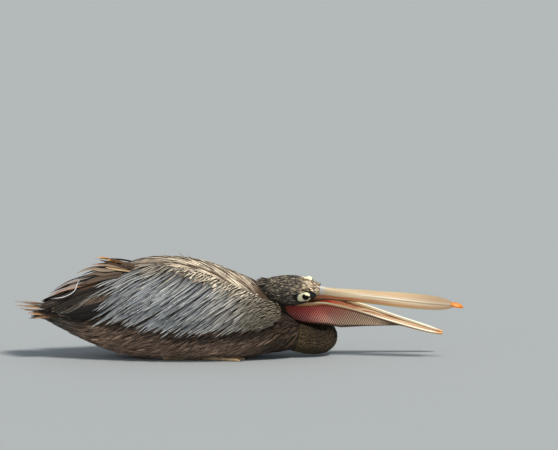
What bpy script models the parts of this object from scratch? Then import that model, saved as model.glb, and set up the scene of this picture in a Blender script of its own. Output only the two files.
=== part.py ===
"""A pink-backed pelican as a life-size museum model: afloat low on its belly, wings folded,
neck drawn back in a fold, head rolled to its right and the long bill parted.

+X is the way the bill points, +Y the bird's left and +Z up, in metres. The belly and the
soles of the tucked feet lie on Z = 0. Each piece of the bird is one closed solid, and
neighbours keep a hair's gap.
"""

import math

import bmesh
import bpy
import numpy as np
from mathutils import Euler, Matrix, Vector

# Driving sizes
GAP = 0.0005  # between neighbouring pieces
CULMEN = 0.338  # bill, from the forehead feathers to the hook

# Colour and roughness of each finish
FINISHES = {
    "grey_plumage": ((0.42, 0.40, 0.38), 0.85),
    "brown_plumage": ((0.36, 0.28, 0.22), 0.85),
    "dark_plumage": ((0.12, 0.09, 0.07), 0.8),
    "horn": ((0.80, 0.66, 0.50), 0.45),
    "orange_horn": ((0.88, 0.42, 0.08), 0.35),
    "pouch_skin": ((0.66, 0.35, 0.30), 0.5),
    "foot_skin": ((0.62, 0.50, 0.34), 0.6),
    "eye_gloss": ((0.05, 0.03, 0.02), 0.08),
}

# How finely each piece is divided: along it, and around or across it
DIVISIONS = {
    "trunk": (22, 24),
    "neck": (19, 14),
    "head": (13, 18),
    "eye": (8, 12),
    "upper_bill": (17, 9),
    "bill_nail": (7, 10),
    "ramus": (14, 8),
    "pouch": (12, 9),
    "wing": (17, 8),
    "leg": (9, 10),
    "foot": 5,
    "blades": 4,
}
FINE = 120  # rows that a measure is looked up in

# Head: where it is held, and how it is turned about X, Y and Z
HEAD_PLACE = Vector((0.154, -0.015, 0.168))
HEAD_ROLL = math.radians(50)
HEAD_PITCH = math.radians(5.4)
HEAD_YAW = math.radians(-6)

# Trunk: place along X, top, height of the widest line, bottom, half width
TRUNK = [
    (-0.462, 0.112, 0.101, 0.090, 0.012),
    (-0.430, 0.130, 0.100, 0.074, 0.036),
    (-0.370, 0.166, 0.102, 0.043, 0.060),
    (-0.300, 0.206, 0.104, 0.014, 0.080),
    (-0.230, 0.235, 0.104, 0.000, 0.094),
    (-0.150, 0.240, 0.100, -0.004, 0.102),
    (-0.070, 0.226, 0.096, -0.004, 0.102),
    (0.000, 0.199, 0.090, 0.000, 0.096),
    (0.040, 0.180, 0.084, 0.004, 0.086),
    (0.065, 0.148, 0.079, 0.009, 0.078),
    (0.095, 0.117, 0.070, 0.013, 0.066),
    (0.130, 0.094, 0.058, 0.019, 0.045),
    (0.152, 0.078, 0.050, 0.028, 0.022),
]
BACK_SQUARENESS = 1.9  # 2 is an ellipse, and more is fuller
BELLY_SQUARENESS = 2.6

# Neck: its middle line from inside the head down, round the fold and into the breast, with radii
NECK = [
    (0.086, 0.006, 0.152, 0.025),
    (0.083, 0.021, 0.127, 0.027),
    (0.099, 0.035, 0.104, 0.027),
    (0.132, 0.052, 0.089, 0.027),
    (0.166, 0.057, 0.077, 0.026),
    (0.195, 0.051, 0.061, 0.026),
    (0.207, 0.034, 0.044, 0.026),
    (0.194, 0.016, 0.034, 0.028),
    (0.166, 0.005, 0.037, 0.031),
    (0.134, 0.000, 0.047, 0.034),
]

# Head, in its own frame with the eyes near X = 0: place along X, middle height, half width, half height
HEAD = [
    (-0.110, -0.026, 0.008, 0.009),
    (-0.098, -0.025, 0.020, 0.021),
    (-0.078, -0.024, 0.029, 0.031),
    (-0.052, -0.021, 0.034, 0.036),
    (-0.026, -0.017, 0.035, 0.037),
    (-0.004, -0.013, 0.031, 0.033),
    (0.016, -0.008, 0.0250, 0.0250),
    (0.032, -0.004, 0.0185, 0.0155),
    (0.041, -0.003, 0.0145, 0.0100),
]
CROWN_TAPER = 0.10  # how much narrower the crown is than the cheeks, each way from the middle
EYE_RADIUS = 0.0105
EYE_PLACE = Vector((0.007, 0.0197, -0.0045))  # the left one; the right one mirrors it

# Upper bill, in the head's frame: place along X, ridge, edge height, half width
UPPER_BILL = [
    (0.026, 0.0055, -0.0145, 0.0150),
    (0.060, 0.0030, -0.0130, 0.0150),
    (0.110, 0.0020, -0.0120, 0.0168),
    (0.170, 0.0005, -0.0118, 0.0186),
    (0.230, -0.0030, -0.0115, 0.0205),
    (0.290, -0.0045, -0.0098, 0.0202),
    (0.325, -0.0045, -0.0086, 0.0165),
    (0.344, -0.0045, -0.0078, 0.0105),
    (0.350, -0.0050, -0.0075, 0.0065),
]
RIDGE_ROUNDING = 1.6
PALATE_DROP = 0.0022
BILL_BASE = 0.034
NAIL_DEPTH = 0.0085  # how far the hook curls down
NAIL_THICKNESS = 0.0022  # half of it, at the root
NAIL_POINT = 0.0008  # half width left at the point

# Lower jaw, in the head's frame: place along X, height, half spread, half height, half thickness
JAW = [
    (-0.022, -0.0300, 0.0235, 0.0045, 0.0026),
    (0.015, -0.0290, 0.0215, 0.0048, 0.0027),
    (0.058, -0.0370, 0.0185, 0.0046, 0.0026),
    (0.100, -0.0590, 0.0145, 0.0042, 0.0025),
    (0.160, -0.0865, 0.0108, 0.0038, 0.0025),
    (0.225, -0.1085, 0.0078, 0.0034, 0.0026),
    (0.285, -0.1235, 0.0048, 0.0031, 0.0029),
    (0.329, -0.1320, 0.0016, 0.0024, 0.0024),
]
# Pouch: place along X in the head's frame, and how far it hangs in plumb
POUCH_SAG = [
    (-0.042, 0.022),
    (-0.022, 0.042),
    (0.004, 0.053),
    (0.036, 0.060),
    (0.075, 0.056),
    (0.112, 0.041),
    (0.150, 0.026),
    (0.200, 0.012),
    (0.245, 0.003),
]
POUCH_THICKNESS = 0.0018
POUCH_FULLNESS = (2.2, 0.8)  # powers that make the hanging section rounder than an arch

# Folded wing: place along X, upper edge out and up, lower edge out and up, bulge between them
WING = [
    (0.0985, 0.070, 0.126, 0.078, 0.103, 0.002),
    (0.088, 0.060, 0.142, 0.088, 0.089, 0.008),
    (0.055, 0.056, 0.156, 0.099, 0.079, 0.013),
    (0.000, 0.054, 0.180, 0.108, 0.076, 0.016),
    (-0.060, 0.054, 0.203, 0.113, 0.073, 0.017),
    (-0.120, 0.054, 0.220, 0.114, 0.073, 0.017),
    (-0.180, 0.050, 0.229, 0.111, 0.088, 0.016),
    (-0.240, 0.036, 0.230, 0.103, 0.099, 0.016),
    (-0.290, 0.016, 0.224, 0.093, 0.104, 0.015),
    (-0.340, 0.007, 0.211, 0.080, 0.107, 0.013),
    (-0.390, 0.006, 0.188, 0.067, 0.111, 0.010),
    (-0.430, 0.007, 0.161, 0.057, 0.115, 0.007),
    (-0.480, 0.012, 0.129, 0.045, 0.119, 0.003),
]
SHOULDER = 0.45  # how soon the wing falls away below its upper edge
WING_THICKNESS = 0.013
WING_EDGE = 0.3  # thickness left at the upper and lower edge, as a share
FLIGHT_ROOT = -0.360  # the coverts end here, and the long flight feathers show
FLIGHT_REACH = (0.026, 0.118)  # how far they stand out behind the coverts, at the top and at most
FLIGHT_FULL = 0.67  # share of the way down where they reach farthest
FLIGHT_LOWEST_CUT = 0.020  # how much shorter the lowest one is
FLIGHT_BLADES = 7
FLIGHT_THICKNESS = 0.004
FLIGHT_NOTCH = 0.16

# Tail: a fan of blades, arched across
TAIL_ROOT = -0.405
TAIL_TIP = -0.524
TAIL_HALF_WIDTH = 0.062
TAIL_ROOT_SHARE = 0.5
TAIL_CROWN = 0.124
TAIL_DROOP = 0.022
TAIL_SIDE_CUT = 0.030  # how much shorter the outermost blades are
TAIL_BLADES = 11
TAIL_THICKNESS = 0.0035
TAIL_NOTCH = 0.11

# Leg and foot, folded flat under the belly (the left one)
HEEL = Vector((-0.178, 0.044, 0.0078))
TOE_ROOT = Vector((-0.092, 0.042, 0.0060))
TARSUS_RADIUS = 0.0065
HEEL_RADIUS = 0.0095
HEEL_KNOB = (0.9, 0.12)  # where the knob is along the tarsus, and its spread
WEB_THICKNESS = 0.0035
TOE_RADIUS = 0.0045
TOE_CROWD = 0.36  # most of the room between two toes that one may fill
TOES = [(-75, 0.034), (-16, 0.074), (2, 0.100), (19, 0.094)]  # heading off +X to the left, and length
WEB_NOTCH = 0.12  # how far the web's edge is scooped between the toes
SHARP_ANGLE = math.radians(50)


def clear_scene():
    for obj in list(bpy.data.objects):
        bpy.data.objects.remove(obj)


def finish_of(name):
    """A plain surface in the finish's own colour."""
    colour, roughness = FINISHES[name]
    made = bpy.data.materials.new(name)
    made.use_nodes = True
    shader = made.node_tree.nodes["Principled BSDF"]
    shader.inputs["Base Color"].default_value = (*colour, 1.0)
    shader.inputs["Roughness"].default_value = roughness
    return made


def smooth_rows(rows, count):
    """count rows along a Catmull-Rom curve through the given rows, evenly spread by row number."""
    rows = np.array(rows, float)
    padded = np.vstack([2 * rows[0] - rows[1], rows, 2 * rows[-1] - rows[-2]])
    at = np.linspace(0, len(rows) - 1, count)
    i = np.minimum(at.astype(int), len(rows) - 2)
    t = (at - i)[:, None]
    a, b, c, d = (padded[i + k] for k in range(4))
    return 0.5 * (2 * b + (c - a) * t + (2 * a - 5 * b + 4 * c - d) * t**2 + (3 * b - a - 3 * c + d) * t**3)


def link_object(name, bm, finish):
    """Turns a bmesh into an object with a soft shade and its faces pointing out."""
    bmesh.ops.triangulate(bm, faces=bm.faces)
    bmesh.ops.recalc_face_normals(bm, faces=bm.faces)
    mesh = bpy.data.meshes.new(name)
    bm.to_mesh(mesh)
    bm.free()
    mesh.materials.append(finish)
    mesh.shade_smooth()
    mesh.set_sharp_from_angle(angle=SHARP_ANGLE)
    obj = bpy.data.objects.new(name, mesh)
    bpy.context.scene.collection.objects.link(obj)
    return obj


def loft(name, rings, finish):
    """A closed solid through flat rings of points, with a face across each end."""
    bm = bmesh.new()
    loops = [[bm.verts.new(point) for point in ring] for ring in rings]
    for one, other in zip(loops, loops[1:]):
        for k in range(len(one)):
            after = (k + 1) % len(one)
            bm.faces.new((one[k], one[after], other[after], other[k]))
    bm.faces.new(loops[0])
    bm.faces.new(loops[-1])
    return link_object(name, bm, finish)


def plate(name, points, thickness, finish):
    """A sheet over a grid of points, thickened evenly to both sides."""
    bm = bmesh.new()
    grid = [[bm.verts.new(point) for point in row] for row in points]
    for one, other in zip(grid, grid[1:]):
        for k in range(len(one) - 1):
            bm.faces.new((one[k], one[k + 1], other[k + 1], other[k]))
    sheet = link_object(name, bm, finish)
    modifier = sheet.modifiers.new("thickness", "SOLIDIFY")
    modifier.thickness = thickness
    modifier.offset = 0
    return sheet


def blades(count, notch, place):
    """Grid for a plate of overlapping feathers. place(u, s) is the point at the share u across them
    and s along them; every second column ends in a blade's point, and the others in a notch."""
    across = np.linspace(0, 1, 2 * count + 1)
    reach = np.where(np.arange(2 * count + 1) % 2, 1, 1 - notch)
    along = np.linspace(0, 1, DIVISIONS["blades"])
    return [[place(u, s * r) for u, r in zip(across, reach)] for s in along]


def full_turn(count):
    return np.linspace(0, 2 * math.pi, count, endpoint=False)


def tube_rings(line, wide, tall, around):
    """Elliptic rings along a line of points. The wide way starts along Y, and each ring's is turned
    on from the last one's, so that a fold doesn't twist them."""
    line = np.array(line, float)
    along = np.gradient(line, axis=0)
    along /= np.linalg.norm(along, axis=1)[:, None]
    turn = full_turn(around)[:, None]
    side = np.array((0.0, 1.0, 0.0))
    rings = []
    for point, ahead, w, t in zip(line, along, wide, tall):
        side = side - ahead * (side @ ahead)
        side /= np.linalg.norm(side)
        rings.append(point + w * side * np.cos(turn) + t * np.cross(ahead, side) * np.sin(turn))
    return rings


def head_matrix():
    """Carries a point of the head's frame into the bird's."""
    turned = Euler((HEAD_ROLL, HEAD_PITCH, HEAD_YAW), "XYZ").to_matrix().to_4x4()
    return Matrix.Translation(HEAD_PLACE) @ turned


def hide_cutter(obj):
    obj.hide_render = True
    obj.display_type = "WIRE"
    return obj


def swollen(obj):
    """A hidden copy of a piece, grown by the gap, to cut its neighbours back with."""
    graph = bpy.context.evaluated_depsgraph_get()
    bm = bmesh.new()
    bm.from_object(obj, graph)
    bm.normal_update()
    moves = [vert.normal * GAP for vert in bm.verts]
    for vert, move in zip(bm.verts, moves):
        vert.co += move
    mesh = bpy.data.meshes.new("cut_" + obj.name)
    bm.to_mesh(mesh)
    bm.free()
    cutter = bpy.data.objects.new("cut_" + obj.name, mesh)
    bpy.context.scene.collection.objects.link(cutter)
    return hide_cutter(cutter)


def combine(obj, other, operation="DIFFERENCE"):
    modifier = obj.modifiers.new(operation.lower() + "_" + other.name, "BOOLEAN")
    modifier.operation = operation
    modifier.solver = "EXACT"
    modifier.object = other


def flatten(obj):
    """Cuts off what is below the floor, and closes the cut with a flat."""
    bm = bmesh.new()
    bm.from_mesh(obj.data)
    everything = bm.verts[:] + bm.edges[:] + bm.faces[:]
    bmesh.ops.bisect_plane(bm, geom=everything, dist=1e-6, plane_no=(0, 0, 1), clear_inner=True)
    rim = [edge for edge in bm.edges if edge.is_boundary]
    floor = bmesh.ops.contextual_create(bm, geom=rim)["faces"]
    bmesh.ops.triangulate(bm, faces=floor)
    bmesh.ops.recalc_face_normals(bm, faces=bm.faces)
    bm.to_mesh(obj.data)
    bm.free()


def make_trunk(finish):
    """Ovals of changing top, bottom and width, flat where the belly meets the floor."""
    stations, around = DIVISIONS["trunk"]
    turn = full_turn(around)
    fullness = np.where(np.sin(turn) > 0, BACK_SQUARENESS, BELLY_SQUARENESS)
    out = np.sign(np.cos(turn)) * np.abs(np.cos(turn)) ** (2 / fullness)
    up = np.sign(np.sin(turn)) * np.abs(np.sin(turn)) ** (2 / fullness)
    rings = []
    for x, top, widest, bottom, half in smooth_rows(TRUNK, stations):
        height = np.where(up > 0, top - widest, widest - bottom)
        rings.append(np.column_stack([np.full(len(turn), x), half * out, widest + height * up]))
    trunk = loft("trunk", rings, finish)
    flatten(trunk)
    return trunk


def make_neck(finish):
    """A round tube along the fold."""
    stations, around = DIVISIONS["neck"]
    rows = smooth_rows(NECK, stations)
    return loft("neck", tube_rings(rows[:, :3], rows[:, 3], rows[:, 3], around), finish)


def make_head(finish, matrix):
    """Ovals along the skull, a little narrower at the crown than at the cheeks."""
    stations, around = DIVISIONS["head"]
    turn = full_turn(around)
    taper = 1 - CROWN_TAPER * np.sin(turn)
    rings = [
        np.column_stack([np.full(len(turn), x), half * np.cos(turn) * taper, middle + tall * np.sin(turn)])
        for x, middle, half, tall in smooth_rows(HEAD, stations)
    ]
    head = loft("head", rings, finish)
    head.data.transform(matrix)
    return head


def make_eye(name, side, finish, matrix):
    rings, around = DIVISIONS["eye"]
    bm = bmesh.new()
    bmesh.ops.create_uvsphere(bm, u_segments=around, v_segments=rings, radius=EYE_RADIUS)
    eye = link_object(name, bm, finish)
    where = Vector((EYE_PLACE.x, side * EYE_PLACE.y, EYE_PLACE.z))
    eye.data.transform(matrix @ Matrix.Translation(where))
    return eye


def make_upper_bill(finish, matrix):
    """Each section is a ridged roof over a nearly flat palate."""
    stations, across = DIVISIONS["upper_bill"]
    roof = np.linspace(-1, 1, across)
    palate = roof[-2:0:-1]
    rings = []
    for x, ridge, edge, half in smooth_rows(UPPER_BILL, stations):
        over = edge + (ridge - edge) * (1 - np.abs(roof) ** RIDGE_ROUNDING)
        under = edge - PALATE_DROP * (1 - palate**2)
        out = half * np.concatenate([roof, palate])
        rings.append(np.column_stack([np.full(len(out), x), out, np.concatenate([over, under])]))
    bill = loft("upper_bill", rings, finish)
    bill.data.transform(matrix)
    return bill


def make_nail(finish, matrix):
    """The hook on the tip: a flattened cone that starts just past the bill and curls down along a
    quarter of an oval."""
    stations, around = DIVISIONS["bill_nail"]
    end, ridge, edge, half = UPPER_BILL[-1]
    share = np.linspace(0, 1, stations)
    quarter = 0.5 * math.pi * share
    start = end + GAP
    out = start + (BILL_BASE + CULMEN - start) * np.sin(quarter)
    up = (ridge + edge) / 2 - NAIL_DEPTH * (1 - np.cos(quarter))
    line = np.column_stack([out, np.zeros(stations), up])
    wide = half * (1 - share**2) + NAIL_POINT
    tall = NAIL_THICKNESS * (1 - 0.6 * share)
    nail = loft("bill_nail", tube_rings(line, wide, tall, around), finish)
    nail.data.transform(matrix)
    return nail


def make_lower_bill(finish, matrix):
    """Two thin rami, bowed apart behind and joined at the tip."""
    stations, around = DIVISIONS["ramus"]
    rows = smooth_rows(JAW, stations)
    rami = []
    for name, side in (("lower_bill", -1), ("far_ramus", 1)):
        line = np.column_stack([rows[:, 0], side * rows[:, 2], rows[:, 1]])
        rami.append(loft(name, tube_rings(line, rows[:, 4], rows[:, 3], around), finish))
        rami[-1].data.transform(matrix)
    combine(rami[0], hide_cutter(rami[1]), "UNION")
    return rami[0]


def make_pouch(finish, matrix):
    """Skin slung from one ramus to the other, hanging plumb between them."""
    stations, columns = DIVISIONS["pouch"]
    jaw = smooth_rows(JAW, FINE)
    across = np.linspace(0, 1, columns)
    inner, outer = POUCH_FULLNESS
    hang = (1 - np.abs(2 * across - 1) ** inner) ** outer
    grid = []
    for x, sag in smooth_rows(POUCH_SAG, stations):
        height, spread, tall = (np.interp(x, jaw[:, 0], jaw[:, k]) for k in (1, 2, 3))
        rim_height = height - tall - 2 * GAP
        near = matrix @ Vector((x, -spread, rim_height))
        far = matrix @ Vector((x, spread, rim_height))
        grid.append([near.lerp(far, w) - Vector((0, 0, sag * h)) for w, h in zip(across, hang)])
    return plate("pouch", grid, POUCH_THICKNESS, finish)


def wing_curve(row, v, depth=0):
    """Points down one section of the folded wing, v from its upper edge (0) to its lower edge (1),
    and depth below its outer face."""
    x, out_top, up_top, out_low, up_low, bulge = row
    fall = SHOULDER * (out_low - out_top) * np.sin(0.5 * math.pi * v) * (1 - v)
    out = out_top + (out_low - out_top) * v + bulge * np.sin(math.pi * v) + fall
    up = up_top + (up_low - up_top) * v
    across, down = np.gradient(out), np.gradient(up)
    length = np.hypot(across, down)
    return np.column_stack([np.full(len(v), x), out + depth * down / length, up - depth * across / length])


def wing_row(x):
    """The folded wing's measures at one place along it."""
    rows = smooth_rows(WING, FINE)[::-1]
    return [np.interp(x, rows[:, 0], rows[:, k]) for k in range(len(rows[0]))]


def make_wing(name, side, finish):
    """The folded arm under its coverts: a blanket that thins towards both edges."""
    stations, down = DIVISIONS["wing"]
    v = np.linspace(0, 1, down)
    thickness = WING_THICKNESS * (WING_EDGE + (1 - WING_EDGE) * np.sin(math.pi * v))
    bend = WING[0][0]
    share = np.linspace(0, 1, stations) ** 1.5  # closer together at the rounded bend
    rings = []
    for x in bend + (FLIGHT_ROOT - bend) * share:
        row = wing_row(x)
        rings.append(np.vstack([wing_curve(row, v), wing_curve(row, v, thickness)[::-1]]) * (1, side, 1))
    return loft(name, rings, finish)


def make_flight_feathers(name, side, finish):
    """The ends of the long feathers, fanned out behind the coverts on the same curved face."""
    v = np.linspace(0, 1, 21)
    least, most = FLIGHT_REACH

    def place(u, s):
        swell = math.sin(0.5 * math.pi * min(1, u / FLIGHT_FULL))
        reach = least + (most - least) * swell - FLIGHT_LOWEST_CUT * u**4
        x = FLIGHT_ROOT - 3 * GAP - reach * s
        curve = wing_curve(wing_row(x), v, FLIGHT_THICKNESS)
        return Vector((x, side * np.interp(u, v, curve[:, 1]), np.interp(u, v, curve[:, 2])))

    return plate(name, blades(FLIGHT_BLADES, FLIGHT_NOTCH, place), FLIGHT_THICKNESS, finish)


def make_tail(finish):
    """Blades fanned out from the rump, the outer ones shorter and lower."""

    def place(u, s):
        off_middle = 2 * u - 1
        tip = TAIL_TIP + TAIL_SIDE_CUT * off_middle**2
        out = TAIL_HALF_WIDTH * off_middle * (TAIL_ROOT_SHARE + (1 - TAIL_ROOT_SHARE) * s)
        return Vector((TAIL_ROOT + (tip - TAIL_ROOT) * s, out, TAIL_CROWN - TAIL_DROOP * off_middle**2))

    return plate("tail", blades(TAIL_BLADES, TAIL_NOTCH, place), TAIL_THICKNESS, finish)


def make_leg(name, side, finish):
    """The tarsus, laid along the floor back to the knob of the heel joint."""
    stations, around = DIVISIONS["leg"]
    knob_at, knob_spread = HEEL_KNOB
    share = np.linspace(0, 1, stations)
    line = [TOE_ROOT.lerp(HEEL, s) * Vector((1, side, 1)) for s in share]
    knob = np.exp(-(((share - knob_at) / knob_spread) ** 2))
    radius = TARSUS_RADIUS + (HEEL_RADIUS - TARSUS_RADIUS) * knob
    radius[-1] *= 0.6
    leg = loft(name, tube_rings(line, radius, radius, around), finish)
    flatten(leg)
    return leg


def foot_row(root, ahead, length, share):
    """The foot's upper face at one share of the toes' length: three points over each toe, with a
    ridge in the middle, and one on the web between each two, drawn back towards the root."""
    middle = root + ahead * (length * share)[:, None]
    apart = np.linalg.norm(np.diff(middle, axis=0), axis=1)
    taper = math.sqrt(1.05 - share)
    high = WEB_THICKNESS + (2 * TOE_RADIUS - WEB_THICKNESS) * taper
    row = []
    for k, (point, forwards) in enumerate(zip(middle, ahead)):
        room = apart[max(k - 1, 0) : k + 1].min()
        half = min(TOE_RADIUS * (0.3 + 0.7 * taper), TOE_CROWD * room)
        aside = half * np.array((-forwards[1], forwards[0]))
        row += [(*(point - aside), WEB_THICKNESS), (*point, high), (*(point + aside), WEB_THICKNESS)]
        if k < len(apart):
            between = (middle[k] + middle[k + 1]) / 2
            row.append((*(root + (between - root) * (1 - WEB_NOTCH * share)), WEB_THICKNESS))
    return row


def rim_of(grid):
    """The points round the edge of a grid, in order."""
    first, *between, last = grid
    return first + [row[-1] for row in between] + last[::-1] + [row[0] for row in between[::-1]]


def make_foot(name, side, finish):
    """Four ridged toes fanned out from one root and joined by one web, the sole flat on the floor."""
    root = np.array((TOE_ROOT.x + TARSUS_RADIUS, TOE_ROOT.y))
    heading = np.radians([toe[0] for toe in TOES])
    length = np.array([toe[1] for toe in TOES])
    ahead = np.column_stack([np.cos(heading), np.sin(heading)])
    rows = [foot_row(root, ahead, length, share) for share in np.linspace(0.1, 1, DIVISIONS["foot"])]
    bm = bmesh.new()
    upper = [[bm.verts.new((x, side * y, z)) for x, y, z in row] for row in rows]
    sole = [[bm.verts.new((x, side * y, 0)) for x, y, _ in row] for row in rows]
    for sheet in (upper, sole):
        for one, other in zip(sheet, sheet[1:]):
            for k in range(len(one) - 1):
                bm.faces.new((one[k], one[k + 1], other[k + 1], other[k]))
    over, under = rim_of(upper), rim_of(sole)
    for k in range(len(over)):
        bm.faces.new((over[k - 1], over[k], under[k], under[k - 1]))
    return link_object(name, bm, finish)


def centre_over_origin():
    """Moves every object alike, so that the middle of the bird's length and width is over the origin."""
    bpy.context.view_layer.update()
    graph = bpy.context.evaluated_depsgraph_get()
    corners = []
    for obj in bpy.data.objects:
        if not obj.hide_render:
            corners += [obj.matrix_world @ Vector(corner) for corner in obj.evaluated_get(graph).bound_box]
    low, high = np.min(corners, axis=0), np.max(corners, axis=0)
    for obj in bpy.data.objects:
        obj.location -= Vector((*(low + high)[:2] / 2, 0))


def main():
    clear_scene()
    matrix = head_matrix()
    finish = {name: finish_of(name) for name in FINISHES}

    trunk = make_trunk(finish["brown_plumage"])
    neck = make_neck(finish["brown_plumage"])
    head = make_head(finish["grey_plumage"], matrix)
    upper_bill = make_upper_bill(finish["horn"], matrix)
    make_nail(finish["orange_horn"], matrix)
    lower_bill = make_lower_bill(finish["horn"], matrix)
    pouch = make_pouch(finish["pouch_skin"], matrix)
    tail = make_tail(finish["dark_plumage"])
    pairs = []
    for word, side in (("right", -1), ("left", 1)):
        eye = make_eye("eye_" + word, side, finish["eye_gloss"], matrix)
        make_flight_feathers("primaries_" + word, side, finish["dark_plumage"])
        wing = make_wing("wing_" + word, side, finish["grey_plumage"])
        leg = make_leg("leg_" + word, side, finish["foot_skin"])
        foot = make_foot("foot_" + word, side, finish["foot_skin"])
        combine(head, swollen(eye))
        pairs += [wing, leg, foot]

    # Each piece is cut back from the ones that it carries or touches
    lower_bill_space = swollen(lower_bill)
    combine(head, swollen(upper_bill))
    combine(head, lower_bill_space)
    combine(pouch, lower_bill_space)
    head_space = swollen(head)
    combine(neck, head_space)
    combine(pouch, head_space)
    combine(pouch, swollen(neck))
    for piece in (head, neck, tail, *pairs):
        combine(trunk, swollen(piece))
    centre_over_origin()


main()
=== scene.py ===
import math
import bpy
import numpy as np
from mathutils import Euler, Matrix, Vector


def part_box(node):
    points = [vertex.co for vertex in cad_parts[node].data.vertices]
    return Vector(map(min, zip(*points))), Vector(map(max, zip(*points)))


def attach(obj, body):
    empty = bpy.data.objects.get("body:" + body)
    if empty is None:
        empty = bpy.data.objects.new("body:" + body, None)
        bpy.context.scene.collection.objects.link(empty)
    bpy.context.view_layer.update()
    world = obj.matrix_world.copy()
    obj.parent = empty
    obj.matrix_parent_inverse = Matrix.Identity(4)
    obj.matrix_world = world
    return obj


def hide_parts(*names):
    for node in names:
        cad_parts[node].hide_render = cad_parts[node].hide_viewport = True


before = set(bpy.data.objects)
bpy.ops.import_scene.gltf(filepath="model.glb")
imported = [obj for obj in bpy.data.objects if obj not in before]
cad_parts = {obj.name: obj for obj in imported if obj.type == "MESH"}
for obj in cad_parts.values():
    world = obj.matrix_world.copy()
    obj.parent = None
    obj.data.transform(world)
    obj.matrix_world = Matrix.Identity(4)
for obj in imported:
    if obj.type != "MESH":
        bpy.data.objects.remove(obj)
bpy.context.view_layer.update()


def linear(*levels):
    # a screen colour in levels of 0 to 255, as the linear light that a shader takes
    level = np.array(levels, float) / 255
    return np.where(level <= 0.04045, level / 12.92, ((level + 0.055) / 1.055) ** 2.4)


def ease(low, high, value):
    # rises from 0 at low to 1 at high along 3t^2 - 2t^3
    t = np.clip((value - low) / (high - low), 0, 1)
    return t * t * (3 - 2 * t)


def unit(vectors):
    # each vector over its own length
    return vectors / np.maximum(np.linalg.norm(vectors, axis=-1, keepdims=True), 1e-9)


def blend(a, b, share):
    # a and the share of the way on to b
    return a + (b - a) * np.asarray(share)[..., None]


def along(rows, at):
    # a Catmull-Rom curve through the rows, read at row numbers that needn't be whole
    rows = np.asarray(rows, float)
    padded = np.vstack([2 * rows[0] - rows[1], rows, 2 * rows[-1] - rows[-2]])
    at = np.clip(at, 0, len(rows) - 1)
    i = np.minimum(at.astype(int), len(rows) - 2)
    t = (at - i)[..., None]
    a, b, c, d = (padded[i + k] for k in range(4))
    return 0.5 * (2 * b + (c - a) * t + (2 * a - 5 * b + 4 * c - d) * t**2 + (3 * b - a - 3 * c + d) * t**3)


def tableOf(stations, count=400):
    # the same curve through rows in millimetres, as a long table in metres that rises in its first column
    table = along(np.array(stations) / 1000, np.linspace(0, len(stations) - 1, count))
    return table if table[0, 0] < table[-1, 0] else table[::-1]


def lookUp(table, x):
    # the table's other columns at x, straight between its rows
    return [np.interp(x, table[:, 0], table[:, k]) for k in range(1, table.shape[1])]


def spread(*parts):
    # coordinates given apart, as the last axis of one array
    return np.stack(np.broadcast_arrays(*parts), axis=-1)


def steps(count):
    # shares evenly from 0 to 1
    return np.linspace(0, 1, count)


def circle(count):
    # angles evenly round a full turn
    return np.linspace(0, 2 * math.pi, count, endpoint=False)


def kept(keep, *arrays):
    # the same choice made from each array
    return [values[keep] for values in arrays]


def gridFaces(rows, columns, wrapped=False):
    # quads between neighbouring rows and columns, the last column joined to the first if wrapped
    row = np.arange(rows - 1)[:, None] * columns
    column = np.arange(columns if wrapped else columns - 1)
    after = (column + 1) % columns
    corners = [row + column, row + after, row + columns + after, row + columns + column]
    return np.stack(corners, axis=-1).reshape(-1, 4)


def meshOf(name, points, *faceSets):
    # one mesh from points and arrays of faces, each array with its own number of corners
    mesh = bpy.data.meshes.new(name)
    corners = np.concatenate([faces.ravel() for faces in faceSets]).astype(np.int32)
    sizes = np.concatenate([np.full(len(faces), faces.shape[1]) for faces in faceSets])
    starts = np.concatenate([[0], np.cumsum(sizes)[:-1]]).astype(np.int32)
    points = np.reshape(points, (-1, 3))
    mesh.vertices.add(len(points))
    mesh.vertices.foreach_set("co", np.ascontiguousarray(points, np.float32).ravel())
    mesh.loops.add(len(corners))
    mesh.loops.foreach_set("vertex_index", corners)
    mesh.polygons.add(len(sizes))
    mesh.polygons.foreach_set("loop_start", starts)
    mesh.update(calc_edges=True)
    mesh.shade_smooth()
    return mesh


def paintMesh(mesh, name, *parts):
    # a colour for each point, from its channels, as an attribute that the finish reads
    colours = np.column_stack(parts)
    if colours.shape[1] == 3:
        colours = np.column_stack([colours, np.ones(len(colours))])
    layer = mesh.attributes.new(name, "FLOAT_COLOR", "POINT")
    layer.data.foreach_set("color", colours.astype(np.float32).ravel())


def mapMesh(mesh, name, places):
    # a UV map with one place for each point
    corners = np.empty(len(mesh.loops), np.int32)
    mesh.loops.foreach_get("vertex_index", corners)
    layer = mesh.uv_layers.new(name=name)
    places = np.reshape(places, (-1, 2))
    layer.uv.foreach_set("vector", np.ascontiguousarray(places[corners], np.float32).ravel())


def placed(name, data):
    # a new object in the scene
    made = bpy.data.objects.new(name, data)
    bpy.context.scene.collection.objects.link(made)
    return made


def addPiece(mesh, finish, slot, *replaced):
    # a piece on the bird's one body, and the solids that it stands in for
    piece = placed(mesh.name, mesh)
    mesh.materials.append(finish)
    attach(piece, "root")
    if replaced:
        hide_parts(*replaced)
    return piece


def giveWall(piece, thickness, offset=0):
    # thickens a sheet along its normals
    wall = piece.modifiers.new("wall", "SOLIDIFY")
    wall.thickness = thickness
    wall.offset = offset


def shell(rings):
    # closes a stack of rings, shape (rings, around, 3), with a fan to the middle of each end
    rows, around = rings.shape[:2]
    points = np.vstack([rings.reshape(-1, 3), rings[0].mean(axis=0), rings[-1].mean(axis=0)])
    here = np.arange(around)
    after = (here + 1) % around
    start = np.stack([np.full(around, rows * around), after, here], axis=-1)
    last = (rows - 1) * around
    end = np.stack([np.full(around, rows * around + 1), last + here, last + after], axis=-1)
    return points, gridFaces(rows, around, True), np.vstack([start, end])


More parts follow.
